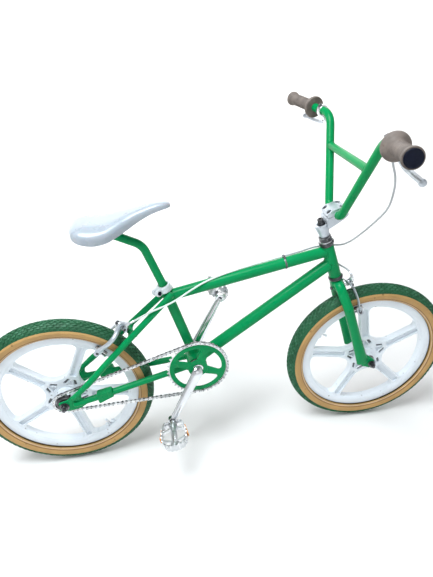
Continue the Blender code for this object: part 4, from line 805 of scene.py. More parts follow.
def axle_set(prefix, matrix, half, outer, body):
    mid = rod(-(half - .022) * Y, (half - .022) * Y, AXLE, 32)
    ends = [thread(s * (half - .0222) * Y, s * (half - .0004) * Y, AXLE, .001) for s in (-1, 1)]
    piece(prefix + "_axle", dressed(STEEL, matrix, mid, *ends), body)
    for s, name in SIDES:
        face = s * (outer + .0003)
        wide = .0025 if prefix == "rear" else .0
        washer = turned([(HUB_BORE, face), (.0112 + wide, face), (.0115 + wide, face + s * .0005),
            (.0115 + wide, face + s * .0018), (.0108 + wide, face + s * .0023),
            (HUB_BORE, face + s * .0023)], 48, Y, wave=lambda a, h: .00018 * sin(24 * a))
        nut = hexagon((face + s * .0022) * Y, (face + s * .0105) * Y, .017, .0009, .005)
        piece(f"{prefix}_axle_nut_{name}", dressed(STEEL, matrix, washer, nut), body)


# ---------------------------------------------------------------- drive
def teeth(count, pitch, hole):
    """A toothed ring with rounded valleys, on the chain line."""
    low, high, tip, root = CHAIN_LINE - .001, CHAIN_LINE + .001, .0026, -.0034
    outer = []
    for k in range(count):
        for turn, radius in ((-.26, .0), (-.13, .62), (-.04, 1.0), (.04, 1.0), (.13, .62), (.26, .0)):
            a = 2 * pi * (k + .5 + turn * 1.35) / count
            r = pitch + root + (tip - root) * radius
            outer.append((r * cos(a), r * sin(a)))
    inner = [(hole * cos(2 * pi * k / len(outer)), hole * sin(2 * pi * k / len(outer)))
        for k in range(len(outer))]
    rings = [[(x, y, z) for x, z in ring]
        for y, ring in ((low, inner), (low, outer), (high, outer), (high, inner))]
    return loft(rings, closed=True)


def chain_links():
    ring = Vector((.39, 0, .064))
    line = atan2(ring.z, ring.x)
    lean = asin((RING_PITCH - SPROCKET_PITCH) / ring.length)
    top, low = line + pi / 2 + lean, line - pi / 2 - lean
    path = []
    for centre, radius, a, b, steps in ((ring, RING_PITCH, top, low, 160),
            (Vector(), SPROCKET_PITCH, low, top - 2 * pi, 60)):
        path += [centre + radius * Vector((cos(a + (b - a) * k / steps), 0, sin(a + (b - a) * k / steps)))
            for k in range(steps + 1)]
    path.append(path[0])
    lengths = lengths_along(path)
    count = 2 * round(lengths[-1] / CHAIN_PITCH / 2)
    pins = [REAR_HUB + p for p in evenly(path, lengths, count)[:-1]]
    plates, rollers = bmesh.new(), bmesh.new()
    for k in range(count):
        a, b = pins[k], pins[(k + 1) % count]
        along = (b - a).normalized()
        over = Vector((-along.z, 0, along.x))
        middle, half = (a + b) / 2, (b - a).length / 2
        outline = []
        for s, centre in ((-1, a), (1, b)):
            for j in range(7):
                t = pi * (j / 6 - .5)
                outline.append(centre + s * (along * .004 * cos(t) + over * .004 * sin(t)))
            outline.append(middle + s * over * .0029)
        offset = .0032 if k % 2 else .0021
        for s in (-1, 1):
            y0, y1 = CHAIN_LINE + s * offset, CHAIN_LINE + s * (offset + .0009)
            rows = []
            for y, shrink in ((y0, 1.0), (y1 - s * .0003, 1.0), (y1, .9)):
                rows.append([plates.verts.new(Vector((0, y, 0)) + middle + (p - middle) * shrink)
                    for p in outline])
            skin(plates, rows)
            plates.faces.new(rows[0])
            plates.faces.new(rows[-1])
        for radius, reach in ((.0034, .0022), (.0017, .0045)):
            rows = [[rollers.verts.new(a + Vector((radius * cos(t * pi / 5),
                CHAIN_LINE + y, radius * sin(t * pi / 5)))) for t in range(10)] for y in (-reach, reach)]
            skin(rollers, rows)
            rollers.faces.new(rows[0])
            rollers.faces.new(rows[1])
    return mesh_from(plates), mesh_from(rollers)


def drive():
    plates, rollers = chain_links()
    piece("chain", [(plates, CHAIN_STEEL), (rollers, STEEL)], "main_frame")
    at = shift(BRACKET)

    disc = teeth(44, RING_PITCH, .0815)
    plate = rod((CHAIN_LINE - .0018) * Y, (CHAIN_LINE + .0018) * Y, .0832, 120)
    tools = []
    for k in range(4):
        middle = RING_ARM + (k + .5) * pi / 2
        edge = asin(.009 / .07)
        start, end = middle - pi / 4 + edge, middle + pi / 4 - edge
        arc = [(.07 * cos(start + (end - start) * i / 14), .07 * sin(start + (end - start) * i / 14))
            for i in [0] + list(range(2, 13)) + [14]]
        corner = .015 * sqrt(2)
        outline = rounded([(corner * cos(middle), corner * sin(middle))] + arc,
            [.012, .008] + [0] * 11 + [.008], 6)
        tools.append(prism(outline, -.06, -.03))
    plate = eased(cut(plate, *tools), .0007, 2, 50)
    washer = rod(-.0492 * Y, -.0464 * Y, .015, 48, .0112, .0006)
    pin = rod(Vector((.023 * cos(CRANK_ANGLE + pi), -.049, .023 * sin(CRANK_ANGLE + pi))),
        Vector((.023 * cos(CRANK_ANGLE + pi), -.044, .023 * sin(CRANK_ANGLE + pi))), .0042, 32, 0, .0007)
    centre = rod(-.0466 * Y, -.0425 * Y, .029, 72, .0118, .0007)
    piece("chainring", dressed(PAINT, at, plate, centre) + dressed(CHAIN_STEEL,
        at, disc) + dressed(CHROME, at, washer, pin), "crank_set")

    arm = Vector((cos(CRANK_ANGLE), 0, sin(CRANK_ANGLE)))
    corners = [-arm * CRANK_LENGTH - Y * .083, -Y * .0563, Y * .0563, arm * CRANK_LENGTH + Y * .083]
    raw = bent_path(corners, [.014, .014], 12)
    path = [raw[0].lerp(raw[1], k / 14)
        for k in range(14)] + raw[1:-2] + [raw[-2].lerp(raw[-1], k / 14) for k in range(15)]
    taper, squash = [], []
    for point in path:
        far = abs(point.dot(arm)) / CRANK_LENGTH
        near = min(max((abs(point.y) - .044) / .01, .0), 1.0)
        near = near * near * (3 - 2 * near)
        taper.append(1.0 + near * (.52 - .7 * far))
        squash.append(1.0 + near * (.91 / (1.52 - .7 * far) - 1.0))
    body = swept(path, .011, 48, arm.cross(Y), taper=taper, squash=squash)
    parts = dressed(CHROME, at, body)
    for s in (-1, 1):
        end = s * arm * CRANK_LENGTH
        eye = turned(facing(s, (.0066, .0752),
            (.0122, .0752), (.0135, .0765), (.0135, .0888), (.0122, .09), (.0066, .09)), 48, Y, end)
        parts += dressed(CHROME, at, eye)
        tip = rod(end + s * .0748 * Y, end + s * .0765 * Y, .0062, 32, .0, .0006)
        parts += dressed(PLUG, at, tip)
        bearing = turned(facing(s,
            (.0112, .04), (.017, .04), (.0182, .0408), (.0182, .0416), (.0112, .042)), 48, Y)
        parts += dressed(STEEL, at, bearing)
    piece("crank", parts, "crank_set")
    for s, name in SIDES:
        low, high = s * .0343, s * .0398
        cup = turned([(.0126, low), (.0262, low),
            (.0265, low + s * .0006), (.0262, high - s * .001), (.0225, high - s * .0002), (.0126, high)],
            96, Y, wave=lambda a, h: -.0006 if cos(6 * a) > .86 else 0)
        piece("bearing_cup_" + name, dressed(STEEL, at, cup), "main_frame")
        end = s * arm * CRANK_LENGTH
        spindle = [thread(end + s * .0772 * Y, end + s * .0905 * Y, .0063, .0012),
            rod(end + s * .0903 * Y, end + s * .094 * Y, .0098, 48, 0, .0006),
            rod(end + s * .0935 * Y, end + s * .174 * Y, .0048, 32)]
        piece("pedal_spindle_" + name, dressed(STEEL, at, *spindle), "crank_set")
        pedal(s, name, shift(BRACKET + end))


def pedal(side, name, at):
    """A cage pedal: barrel, two ribbed alloy side frames and a reflector at each edge."""
    inner, outer, half_in, half_out = .004, .096, .029, .039

    def ring(half, near, wide, tip, far, low, high, *radii):
        outline = [(-half, near), (half, near), (wide, .052), (tip, far), (-tip, far), (-wide, .052)]
        corners = [radii[0], radii[0], .03, radii[1], radii[1], .03]
        return prism(rounded(outline, corners, 8), low, high, Z)
    shell = ring(half_in, inner, half_out, half_out - .007, outer, -.013, .013, .012, .031)
    inside = ring(half_in - .003,
        inner + .0035, half_out - .003, half_out - .01, outer - .0035, -.03, .03, .01, .0275)
    cage = cut(shell, inside)
    notches = []
    for x in (-.03, -.018, -.006, .006, .018, .03):
        for z in (-.0155, .0155):
            notches.append(rod((x, -.01, z), (x, .03, z), .0052, 20))
            notches.append(rod((x, .08, z), (x, .11, z), .0052, 20))
    for y in (.03, .044, .058, .072):
        for z in (-.0155, .0155):
            notches.append(rod((-.06, y, z), (.06, y, z), .0052, 20))
    slots = [prism(oblong(y0, -.0055, y1, .0055, .0045, 5), -.06, .06, X)
        for y0, y1 in ((.018, .03), (.076, .085))]
    cage = eased(cut(cage, *notches, *slots), .0005, 1, 40)
    barrel = turned([(.0052, .0042), (.0105, .0042), (.012, .006), (.012, .018), (.0088, .024),
        (.0085, .05), (.009, .074), (.0118, .079), (.0118, .09), (.0105, .0935), (.0052, .0935)], 56, Y)
    cap = turned([(0, .0925), (.0092, .0925), (.0092, .0945), (.007, .0952), (0, .0952)],
        40, Y, wave=lambda a, h: .0002 * sin(12 * a))
    ribs = []
    for s in (-1, 1):
        for start, end in (((0, .022), (s * .0345, .036)), ((0, .076), (s * .035, .062)),
                ((0, .012), (s * .027, .008)), ((0, .086), (s * .029, .086))):
            a, b = Vector((*start, 0)), Vector((*end, 0))
            across = (b - a).cross(Z).normalized() * .0019
            outline = [tuple((p + q).to_2d())
                for p, q in ((a, across), (b, across), (b, -across), (a, -across))]
            ribs.append(eased(prism(outline, -.005, .005, Z), .0006, 1))
    glass = []
    for s in (-1, 1):
        block = prism(oblong(-.017, -.0088, .017, .0088, .0016, 3), *span(s, .0002, .0034), X)
        slope = shift((s * .0358, .043, 0)) @ spin(-s * radians(10.1), "Z")
        glass.append(moved(eased(block, .0006, 2), slope))
    turn = spin(PEDAL_TILT[name], "Y") @ (spin(pi, "Z") if side < 0 else Matrix.Identity(4))
    place = at @ turn @ shift((0, .0925, 0))
    parts = coated(CAGE_ALLOY, cage, barrel, *ribs) + [(cap, STEEL)] + coated(AMBER, *glass)
    piece("pedal_cage_" + name, placed(parts, place), name + "_pedal")


def freewheel():
    disc = teeth(16, SPROCKET_PITCH, .02)
    core = turned([(.0052, -.0375), (.0225, -.0375), (.0235, -.0385), (.0235, -.05), (.0222, -.0512),
        (.018, -.0516), (.0172, -.0506), (.015, -.0504), (.014, -.0518), (.0052, -.052)], 96, Y)
    notch = prism(oblong(-.0016, .0098, .0016, .0205), -.055, -.049)
    tools = [moved(notch, spin(pi / 2 * k, "Y")) for k in range(4)]
    core = cut(core, *tools)
    at = shift(REAR_HUB)
    piece("freewheel", dressed(STEEL, at, disc, core), "freewheel")


# ---------------------------------------------------------------- steering
def fork():
    legs = []
    for s in (-1, 1):
        path = bent_path([(0, s * .006, .301), (0, s * .027, .295), (.001, s * FORK_LEG_SIDE, .234),
            (.0005, s * FORK_LEG_SIDE, .14), (.001, s * FORK_LEG_SIDE, .0165)], [.02, .03, 0], 9)
        last, knee = path.pop(), path[-1]
        path += [knee.lerp(last, k / 16) for k in range(1, 17)]
        taper = [1.0] * (len(path) - 16) + [1 + .28 * (k / 16) ** 1.55 for k in range(1, 17)]
        squash = [1.0] * (len(path) - 16) + [1 - .54 * (k / 16) ** 2.7 for k in range(1, 17)]
        legs.append(swept(path, .0143, 48, X, taper=taper, squash=squash, dome=True))
        plate = rounded([(-.004, .05), (-.004, .004), (.016, -.013),
            (.037, -.013), (.037, .012), (.0165, .044)], [.002, .004, .006, .009, .009, .008], 6)
        plate = cut(prism(plate, *span(s, .05, .055)),
            prism(oblong(.0207, -.02, .0309, .0051, [0, 0, .005, .005], 8), -.07, .07))
        legs.append(eased(plate, .0008))
        legs.append(weld((0, 0, .299), (0, s, -.1), .0138, (0, 0, .3), (0, 0, 1), .0168, .0016))
    crown = turned([(0, .278),
        (.0135, .278), (.016, .283), (.0172, .29), (.0176, .308), (.015, .3135), (0, .3135)], 64)
    steerer = rod((0, 0, .3), (0, 0, .4535), .0127, 56, .0114)
    boss = rod((.01, 0, FORK_BRAKE_UP), (.0185, 0, FORK_BRAKE_UP), .0085, 40, .0036, .0006)
    parts = dressed(PAINT, STEER, *legs, crown, boss) + dressed(STEEL, STEER, steerer)
    piece("fork", parts, "steering")


def headset():
    fixed = STEER @ spin(-STEER_REST, "Z")
    lower = turned([(.013, .316), (.0195, .316),
        (.0202, .3166), (.021, .3205), (.0208, .3222), (.0188, .325), (.0184, .3257), (.013, .3257)], 72)
    upper = turned([(.013, .4298),
        (.0182, .4298), (.0186, .4305), (.0192, .4338), (.0188, .4345), (.013, .4345)], 72)
    piece("headset_cup_lower", dressed(STEEL, fixed, lower), "main_frame")
    piece("headset_cup_upper", dressed(STEEL, fixed, upper), "main_frame")
    cone = turned([(.013, .4348), (.02, .4348), (.0204, .4354), (.0208, .4405), (.0202, .4418), (.0172,
        .4432), (.013, .4432)], 120, wave=lambda a, h: .00035 * sin(30 * a) if .435 < h < .441 else 0)
    lock = hexagon((0, 0, .445), (0, 0, .456), .0318, .001, .013)
    lip = turned([(.013, .4555), (.0166, .4555), (.0166, .459), (.016, .4597), (.013, .4597)], 64)
    tab = turned(oblong(.013, .4432, .018, .445), 64)
    parts = dressed(STEEL, STEER, cone, lock, lip) + dressed(ALLOY, STEER, tab)
    piece("headset_locknut", parts, "steering")


def stem():
    ahead, up = BAR_CLAMP
    neck = turned([(0, .38), (.0109, .38), (.0109, .4603), (.0136, .4603),
        (.0142, .4612), (.0144, .466), (.0156, .474), (.0176, .482), (.0188, .487), (.019, .489),
        (.019, .4958), (.0184, .497), (.013, .497), (.0125, .4962), (.0125, .493), (0, .493)], 64)
    block = prism(rounded([(.01, .486), (.056, .4985), (.069, .505), (.069, up - .0008),
        (.014, up - .0008), (.01, .509)], [.003, .012, .006, .0008, .0008, .003], 5), -.026, .026)
    bore = rod((ahead, -.05, up), (ahead, .05, up), .0113, 48)
    lower = eased(cut(block, bore, rod((0, 0, .493), (0, 0, .53), .0125, 48)), .0012, 3)
    piece("stem", dressed(CAST, STEER, neck, lower), "steering")
    head = cut(turned([(0, .499), (.008, .499), (.0082, .4996), (.0082, .5108), (.0074, .5121), (0, .5121)],
        48), hexagon((0, 0, .506), (0, 0, .53), .0082, .0))
    expander = [rod((0, 0, .4934), (0, 0, .5008), .01, 48, 0, .0007), head]
    piece("expander_bolt", dressed(STEEL, STEER, *expander), "steering")
    cap = prism(rounded([(.0145, up + .0008), (.069, up + .0008), (.069, .527),
        (.056, .533), (.028, .533), (.0145, .527)], [.001, .001, .004, .006, .006, .004], 5), -.026, .026)
    spots = [(x, y) for x in (.023, .059) for y in (-.0165, .0165)]
    recesses = [rod((x, y, .5235), (x, y, .54), .0066, 40) for x, y in spots]
    cap = eased(cut(cap, bore, *recesses), .001, 3)
    bolts = []
    for x, y in spots:
        head = cut(rod((x, y, .524), (x, y, .5292), .0046, 40, 0, .0006),
            hexagon((x, y, .5255), (x, y, .54), .005, .0))
        bolts += [(head, STEEL), (rod((x, y, .5236), (x, y, .5246), .0064, 40), PLUG)]
    piece("stem_cap", dressed(CAST, STEER, cap) + placed(bolts, STEER), "steering")


def bar_point(side, out, rise, back=.0):
    ahead, up = BAR_CLAMP
    return Vector((ahead + rise * sin(BAR_TILT) - back * cos(BAR_TILT),
        side * out, up + rise * cos(BAR_TILT) + back * sin(BAR_TILT)))


def grip_direction(side):
    tilted = bar_point(side, 0, UPSWEEP, sin(BACKSWEEP)) - bar_point(side, 0, 0)
    return (Vector((0, side * cos(BACKSWEEP), 0)) + tilted).normalized()


def grip_axis(side, half):
    way = grip_direction(side)
    return bar_point(side, BAR_TOP_HALF, BAR_RISE) + way * ((half - BAR_TOP_HALF) / abs(way.y))


def bars():
    corners = [grip_axis(-1, GRIP_END - .006),
        bar_point(-1, BAR_TOP_HALF, BAR_RISE), bar_point(-1, BAR_BASE_HALF, 0),
        bar_point(1, BAR_BASE_HALF, 0), bar_point(1, BAR_TOP_HALF, BAR_RISE), grip_axis(1, GRIP_END - .006)]
    forward = Vector((cos(BAR_TILT), 0, -sin(BAR_TILT)))
    main = swept(bent_path(corners, [.055, .028, .028, .055], 16), BAR, 48, forward)
    reach = BAR_BASE_HALF + (BAR_TOP_HALF - BAR_BASE_HALF) * CROSSBAR_RISE / BAR_RISE
    ends = [bar_point(s, reach, CROSSBAR_RISE) for s in (-1, 1)]
    parts = [main, rod(ends[0], ends[1], CROSSBAR, 44)]
    for s, end in zip((-1, 1), ends):
        leg = bar_point(s, BAR_TOP_HALF, BAR_RISE) - bar_point(s, BAR_BASE_HALF, 0)
        parts.append(weld(end, -s * Y, CROSSBAR, end, leg, BAR, .0016))
    knurl = turned(mirrored([(.0106, -.03), (.01118, -.0298)]),
        180, Y, bar_point(1, 0, 0), lambda a, h: .00012 * sin(60 * a))
    piece("handlebar",
        dressed(BAR_PAINT, STEER, *parts) + dressed(ALLOY, STEER, knurl), "steering")
    for s, name in SIDES:
        grip(s, name)
        lever(s, name)


def grip(side, name):
    start, end = grip_axis(side, GRIP_START), grip_axis(side, GRIP_END)
    length = (end - start).length
    profile = [(.0114, .0), (.014, .0)]
    for k in range(5):
        r = .0148 + .0026 * k
        profile += [(r, .0002), (r + .0005, .0009), (r + .0015, .0009), (r + .002, .0002)]
    profile += [(.0278, .0012), (.0288, .0026), (.0292, .0048), (.0289, .0075),
        (.0279, .0105), (.0254, .013), (.0216, .015), (.0188, .0172), (.0172, .0205), (.0163, .025)]
    ribs = 26
    for k in range(ribs):
        h = .026 + (length - .016 - .026) * k / ribs
        step = (length - .016 - .026) / ribs
        profile += [(.0154, h + step * .1),
            (.0161, h + step * .35), (.0161, h + step * .65), (.0154, h + step * .9)]
    profile += [(.0163, length - .0152), (.0179, length - .0118), (.0192, length - .009), (.0199,
        length - .006), (.02, length - .003), (.0195, length - .0008), (.0186, length), (.0114, length)]
    body = turned(profile, 72, end - start, start)
    piece("grip_" + name, dressed(GRIP, STEER, body), "steering")
    way = grip_direction(side)
    disc = turned([(0, .0003), (.0164, .0003), (.0168, .0008), (.0168, .0026),
        (.016, .0036), (.0148, .0039), (.0142, .0035), (.0128, .0035), (0, .0037)], 64, way, end)
    piece("grip_plug_" + name, dressed(PLUG, STEER, disc), "steering")


def lever_frame(side):
    way = grip_direction(side)
    forward = Vector((cos(LEVER_DROP), 0, -sin(LEVER_DROP)))
    forward = (forward - way * forward.dot(way)).normalized()
    return frame_at(grip_axis(side, LEVER_HALF), forward, way, forward.cross(way))


def lever(side, name):
    place = STEER @ lever_frame(side)
    band = turned(mirrored([(.0114, -.0085), (.0146, -.0085), (.015, -.0079)]), 56, Y)
    post = prism(rounded([(.01, -.008), (.03, -.008), (.036, .0), (.036, .014), (.01, .0075)],
        [.001, .003, .004, .004, .001], 5), -.0085, .0085, Z)
    slot = prism(oblong(.02, -.005, .05, .03), -.0048, .0048, Z)
    bore = rod((0, -.03, 0), (0, .03, 0), .0114, 48)
    body = eased(cut(post, slot, bore), .0009, 3)
    stop = turned([(.003, -.02), (.0044, -.02), (.005, -.0194),
        (.005, -.014), (.004, -.0136), (.004, -.0126), (.005, -.012), (.005, -.0066), (.003, -.006)],
        60, Y, (.027, 0, 0), lambda a, h: .0002 * sin(15 * a) if -.02 < h < -.014 else 0)
    screw = [rod((-.0165, 0, -.0045), (-.0165, 0, .0045), .004, 36, 0, .0006),
        rod((-.017, 0, 0), (-.012, 0, 0), .0042, 36, 0, .0005)]
    pin = rod(LEVER_PIVOT - Z * .0093, LEVER_PIVOT + Z * .0093, .003, 32, 0, .0006)
    parts = coated(ALLOY, band, body, stop) + coated(STEEL, *screw, pin)
    piece("lever_mount_" + name, placed(parts, place), "steering")
    path = smooth_path([(0, 0, 0),
        (.012, .014, 0), (.02, .034, 0), (.024, .065, 0), (.025, .1, 0), (.027, .13, 0)], .0055)
    count = len(path) - 1
    taper = [.62 + .38 * min(k / 5, 1.0) - .22 * max(0, k - 5) / count for k in range(count + 1)]
    blade = swept(path, .0068, 36, Z, taper=taper, squash=[.72] * (count + 1), dome=True)
    out = (path[-1] - path[-2]).normalized()
    knob = turned([(0, .0), (.004, .0), (.0058, .0015), (.007, .004), (.0074, .0068),
        (.0066, .0095), (.0045, .0114), (.0015, .012), (0, .012)], 40, out, path[-1] - out * .006)
    hub = rod((0, 0, -.0045), (0, 0, .0045), .006, 40, .0, .0007)
    nipple = rod((-.001, -.0055, -.0035), (-.001, -.0055, .0035), .0022, 24, 0, .0004)
    at = place @ shift(LEVER_PIVOT)
    piece("brake_lever_" + name,
        dressed(CAST, at, blade, knob, hub) + dressed(STEEL, at, nipple), name + "_lever")


# ---------------------------------------------------------------- brakes
def forged(points, widths, depth, middle):
    """A flat forging with rounded edges that follows points in (side, up) at one depth."""
    path = smooth_path([Vector((middle, a, b)) for a, b in points], .004)
    last = len(path) - 1
    scale = []
    for k in range(last + 1):
        at = k / last * (len(widths) - 1)
        i = min(int(at), len(widths) - 2)
        scale.append((widths[i] + (widths[i + 1] - widths[i]) * (at - i)) / depth)
    return swept(path, depth / 2, 28, X, squash=scale)


def brake_arm(side, tail_side, low, high):
    middle, depth = (low + high) / 2, high - low
    foot = [(side * .0352, -REACH - .0085),
        (side * .037, -.07), (side * .0445, -.045), (side * .036, -.018), (.0, .0)]
    parts = [(eased(forged(foot, [.011, .0112, .014, .017, .019], depth, middle), .001, 2, 60), CAST)]
    upper = side == tail_side
    tail = ([(.0, .0), (tail_side * .02, .021), (tail_side * .038, .0315)]
        if upper else [(.0, .0), (tail_side * .023, .011), (tail_side * .041, .013)])
    parts += coated(CAST, eased(forged(tail, [.018, .013, .0095], depth - .0004, middle), .001, 2, 60))
    parts += coated(ALLOY, rod((low - .0004, 0, 0), (high + .0004, 0, 0), .0108, 48, .0034, .0008))
    shoe, z = .03, -REACH

    def bar(half, rise, near, far, *corner):
        outline = oblong(shoe - half, z - rise, shoe + half, z + rise, *corner)
        return prism(outline, *span(side, near, far))
    seat = prism(oblong(middle - .0086,
        z - .015, middle + .0086, z + .0165, .0074, 8), *span(side, .0332, .0385))
    slot = prism(oblong(middle - .0038,
        z - .0098, middle + .0038, z + .0112, .0036, 6), *span(side, .032, .04))
    parts += coated(CAST, eased(cut(seat, slot), .0008, 2))
    # painted shade: a dark plastic block set behind the open shoe slot stands for the shade inside it
    parts += coated(PLUG, moved(slot, shift((0, -side * .0046, 0))))
    holder = bar(.019, .0055, .0235, .033, .004, 5)
    gap = bar(.016, .0026, .03, .05, .002, 4)
    parts += coated(ALLOY, eased(cut(holder, gap), .0007, 2))
    rubber = bar(.0183, .0047, .0182, .024, .0016, 3)
    parts += coated(RUBBER, bar(.0158, .0024, .029, .0302), eased(rubber, .0006, 2))
    for k in range(4):
        x = shoe - .012 + .008 * k
        parts += coated(RUBBER, rod((x, side * .0185, z - .0049), (x, side * .0185, z + .0049), .0008, 12))
    parts += coated(STEEL, hexagon((middle, side * .036, z - .004), (middle, side * .0412, z - .004), .008),
        thread((middle, side * .041, z - .004), (middle, side * .043, z - .004), .0025, .0009))
    end = tail[-1]
    if upper:
        a, b = Vector((middle, end[0], end[1] - .005)), Vector((middle, end[0], end[1] + .0085))
        knob = turned([(.0009, .0), (.0036, .0), (.0036, .0075), (.0044, .008), (.0044, .0128), (.0038,
            .0135), (.0009, .0135)], 60, b - a, a, lambda t, h: .0002 * sin(15 * t) if h > .0078 else 0)
        parts += coated(ALLOY, knob)
        parts += coated(CHAIN_STEEL, rod(a, (middle - .004, tail_side * .0395, .01), .0008, 12))
    else:
        parts += coated(STEEL, hexagon((high - .0004, end[0] - tail_side * .003, end[1]),
            (high + .004, end[0] - tail_side * .003, end[1]), .008))
    wire = [(low - .0012, -side * .004, .007),
        (low - .0012, side * .015, .005), (low - .0014, side * .03, -.014), (low - .001, side * .04, -.04)]
    parts += coated(STEEL, swept(smooth_path(wire, .004), .0009, 12, X, dome=True))
    return parts


def caliper(prefix, matrix, tail_side, body, face):
    bolt = [(thread((-.024, 0, 0), (-.008, 0, 0), .0032, .001), STEEL),
        (rod((-.0085, 0, 0), (face + .002, 0, 0), .0031, 28), STEEL),
        (hexagon((-.0228, 0, 0), (-.018, 0, 0), .01), STEEL), (rod((.0165, 0, 0), (.024, 0, 0), .0085,
        40, 0, .001), ALLOY), (rod((face + .0005, 0, 0), (face + .0015, 0, 0), .0088, 40, 0, .0003), ALLOY),
        (hexagon((face + .0013, 0, 0), (face + .0047, 0, 0), .0125), STEEL), (turned([(0, .0), (.0058, .0),
        (.0056, .0012), (.0045, .0026), (.0024, .0033), (0, .0035)], 40, X, (face + .004, 0, 0)), STEEL)]
    piece(prefix + "_brake_bolt", placed(bolt, matrix), body)
    for name, parts in (("outer", brake_arm(tail_side, tail_side, .0325, face)),
            ("inner", brake_arm(-tail_side, tail_side, .025, .031))):
        piece(f"{prefix}_brake_arm_{name}", placed(parts, matrix), f"{prefix}_arm_{name}")


# ---------------------------------------------------------------- cables
def tube_side(ahead, turn):
    along = (STEER_FOOT + TOP_JOINT * STEER_UP - SEAT_NODE).normalized()
    over = Vector((-along.z, 0, along.x))
    centre = SEAT_NODE + along * ((REAR_HUB.x + ahead - SEAT_NODE.x) / along.x)
    return centre + CABLE_OFF_TUBE * (over * cos(turn) + Y * sin(turn)), along, centre


def from_hub(ahead, left, height):
    return Vector((REAR_HUB.x + ahead, left, height))


def cables():
    at_clip, along, centre = tube_side(CLIP_AHEAD, radians(28))
    place = aim(along, centre)
    band = turned([(.0161, -.0025), (.0174, -.0023), (.0176, .0), (.0174, .0023), (.0161, .0025)], 96)
    saddle_ring = rod(at_clip - along * .003, at_clip + along * .003, .0042, 40, .0026, .0005)
    lock_at = tube_side(CLIP_AHEAD, radians(-14))[0]
    lock = eased(moved(prism(oblong(-.0036, -.003, .0036, .003), -.003, .003, Z),
        aim(along, lock_at)), .0006, 2)
    tail = rod(lock_at, lock_at + (lock_at - centre).normalized() * .008, .001, 12)
    piece("cable_clip",
        coated(STEEL, moved(band, place), saddle_ring, lock, tail), "main_frame")
    rear = [at_clip - .002 * along, tube_side(.6, radians(24))[0],
        tube_side(.53, radians(8))[0], tube_side(.4708, radians(-12))[0], tube_side(.43, radians(-34))[0],
        from_hub(.39, -.024, .5735), from_hub(.348, -.0355, .555), from_hub(.318, -.0395, .543),
        from_hub(.2726, -.0375, .5255), from_hub(.225, -.034, .501), STAYS @ Vector((.0355, .037, .0395))]
    path = smooth_path(rear, .007)
    ferrule = swept(path[-3:], .0032, 24)
    piece("rear_brake_cable",
        [(swept(path, HOUSING, 20), PALE_HOUSING), (ferrule, ALLOY)], "main_frame")

    def stop_line(side):
        return [lever_frame(side) @ Vector((.027, -reach, 0)) for reach in (.012, .025)]
    start = [STEER @ p for p in stop_line(-1)]
    loop = [start[1]] + [STEER @ Vector((t, y, s))
        for s, t, y in ((.66, .141, -.172), (.633, .14, -.176), (.594, .1385, -.162), (.54, .131, -.13),
        (.494, .109, -.09), (.441, .067, -.04), (.415, .042, -.004), (.406, .019, .0285))]
    loop += [tube_side(.75, radians(60))[0] + .0075 * Y,
        tube_side(.7, radians(34))[0], at_clip + .0015 * along]
    made = piece("rear_brake_cable_loop", [(swept(start[:1] + smooth_path(loop, .007), HOUSING, 20),
        DARK_HOUSING)], "main_frame", rides=False)
    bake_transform(made)
    start = stop_line(1)
    front = [start[1]] + [Vector((t, y, s)) for s, t, y in ((.6767, .1279, .1649), (.6407, .1104, .1419),
        (.5958, .0886, .1131), (.5508, .0667, .0843), (.52, .049, .063), (.488, .032, .044),
        (.458, .018, .031), (.43, .0118, .0205), (.385, .011, .0198), (.356, .015, .021),
        (.342, .0245, .013), (.339, .0315, -.003), (.338, .035, -.019), (.3345, .0362, -.031))]
    front.append(Vector((.036, -.037, FORK_BRAKE_UP + .0395)))
    path = start[:1] + smooth_path(front, .007)
    ferrule = swept(path[-3:], .0032, 24)
    piece("front_brake_cable", dressed(DARK_HOUSING,
        STEER, swept(path, HOUSING, 20)) + dressed(ALLOY, STEER, ferrule), "steering")


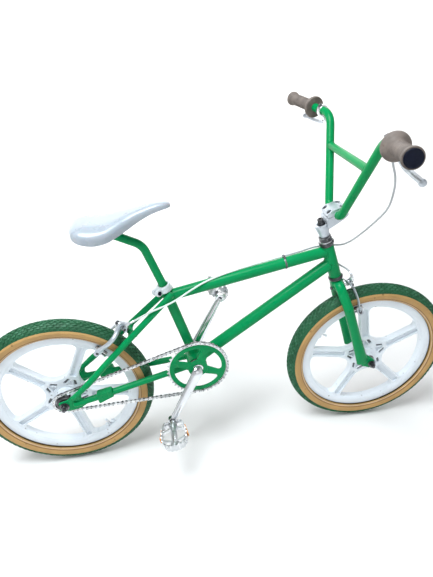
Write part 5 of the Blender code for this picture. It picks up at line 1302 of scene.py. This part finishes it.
# ---------------------------------------------------------------- studio
def studio():
    bowl = [(r, .0) for r in (.4, 1.0, 2.0, 2.8, 3.5, 3.6)] + [(3.6 + 1.8 * sin(a), 1.8 - 1.8 * cos(a))
        for a in (pi / 2 * k / 12 for k in range(1, 13))] + [(5.4, 4.0)]
    rings = [[Vector((r * cos(2 * pi * k / 96), r * sin(2 * pi * k / 96), z - .0006)) for k in range(96)]
        for r, z in bowl]
    bm = bmesh.new()
    loops = [[bm.verts.new(p) for p in ring] for ring in rings]
    bm.faces.new(loops[0])
    skin(bm, loops)
    bmesh.ops.recalc_face_normals(bm, faces=bm.faces)
    if loops[0][0].link_faces[0].normal.z < 0:
        bmesh.ops.reverse_faces(bm, faces=bm.faces)
    mesh = bpy.data.meshes.new("studio_floor")
    bm.to_mesh(mesh)
    bm.free()
    mesh.shade_smooth()
    mesh.materials.append(surface("studio_floor", (.9, .89, .88), .9, .0, .01, 2, .06, 60, .02))
    floor = bpy.data.objects.new("studio_floor", mesh)
    bpy.context.scene.collection.objects.link(floor)
    world = bpy.data.worlds.new("studio")
    world.use_nodes = True
    sky = world.node_tree.nodes["Background"]
    sky.inputs["Color"].default_value = (.93, .96, 1.0, 1)
    sky.inputs["Strength"].default_value = .26
    bpy.context.scene.world = world
    bpy.context.scene.view_settings.view_transform = "Standard"
    for name, at, size, energy, colour in (("key", (-.9, -.5, 3.1), 1.6, 116, (.9, .96, 1.0)),
            ("fill", (.8, -3.0, 1.5), 2.0, 6, (.94, .97, 1.0)), ("back", (.6, 2.8, 2.4),
            2.0, 15, (1.0, 1.0, 1.0)), ("sweep", (.0, 2.6, 3.2), 2.4, 150, (1.0, 1.0, 1.0))):
        lamp = bpy.data.lights.new(name, "AREA")
        lamp.size, lamp.energy, lamp.color = size, energy, colour
        made = bpy.data.objects.new(name, lamp)
        target = Vector((0, 5.4, 1.2)) if name == "sweep" else Vector((0, 0, .45))
        made.matrix_world = aim(Vector(at) - target, at)
        bpy.context.scene.collection.objects.link(made)


def camera():
    azimuth, height, roll = -.14718, .51952, -.03705
    back = Vector((sin(azimuth) * cos(height), -cos(azimuth) * cos(height), sin(height)))
    right = Vector((cos(azimuth), sin(azimuth), 0))
    up = back.cross(right)
    across = cos(roll) * right + sin(roll) * up
    upward = cos(roll) * up - sin(roll) * right
    lens = bpy.data.cameras.new("camera")
    lens.sensor_width, lens.lens = 36.0, 27.54
    lens.clip_start, lens.clip_end = .01, 100.0
    made = bpy.data.objects.new("camera", lens)
    made.matrix_world = frame_at((-.16363, -1.05054, 1.16182), across, upward, back)
    bpy.context.scene.collection.objects.link(made)
    bpy.context.scene.camera = made


def main():
    camera()
    studio()
    main_frame()
    seat_stays()
    chain_stays()
    seat_group()
    wheel("rear", shift(REAR_HUB), REAR_SPOKE, radians(-54.4), (-.0368, .046, .054), "rear_wheel")
    axle_set("rear", shift(REAR_HUB), .08, .06, "main_frame")
    freewheel()
    drive()
    fork()
    headset()
    stem()
    bars()
    lean = pi / 2 - HEAD_ANGLE
    wheel("front", FRONT_HUB, FRONT_SPOKE - lean, radians(148.3) - lean, (-.036, .036, .049), "front_wheel")
    axle_set("front", FRONT_HUB, .074, .055, "steering")
    caliper("rear", STAYS, 1, "main_frame", .045)
    caliper("front", STEER @ shift((0, 0, FORK_BRAKE_UP)), -1, "steering", .0385)
    cables()
    for name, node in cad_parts.items():
        for spot in node.material_slots:
            spot.material = FINISH.get(spot.material.name.split(".")[0], STEEL)


main()
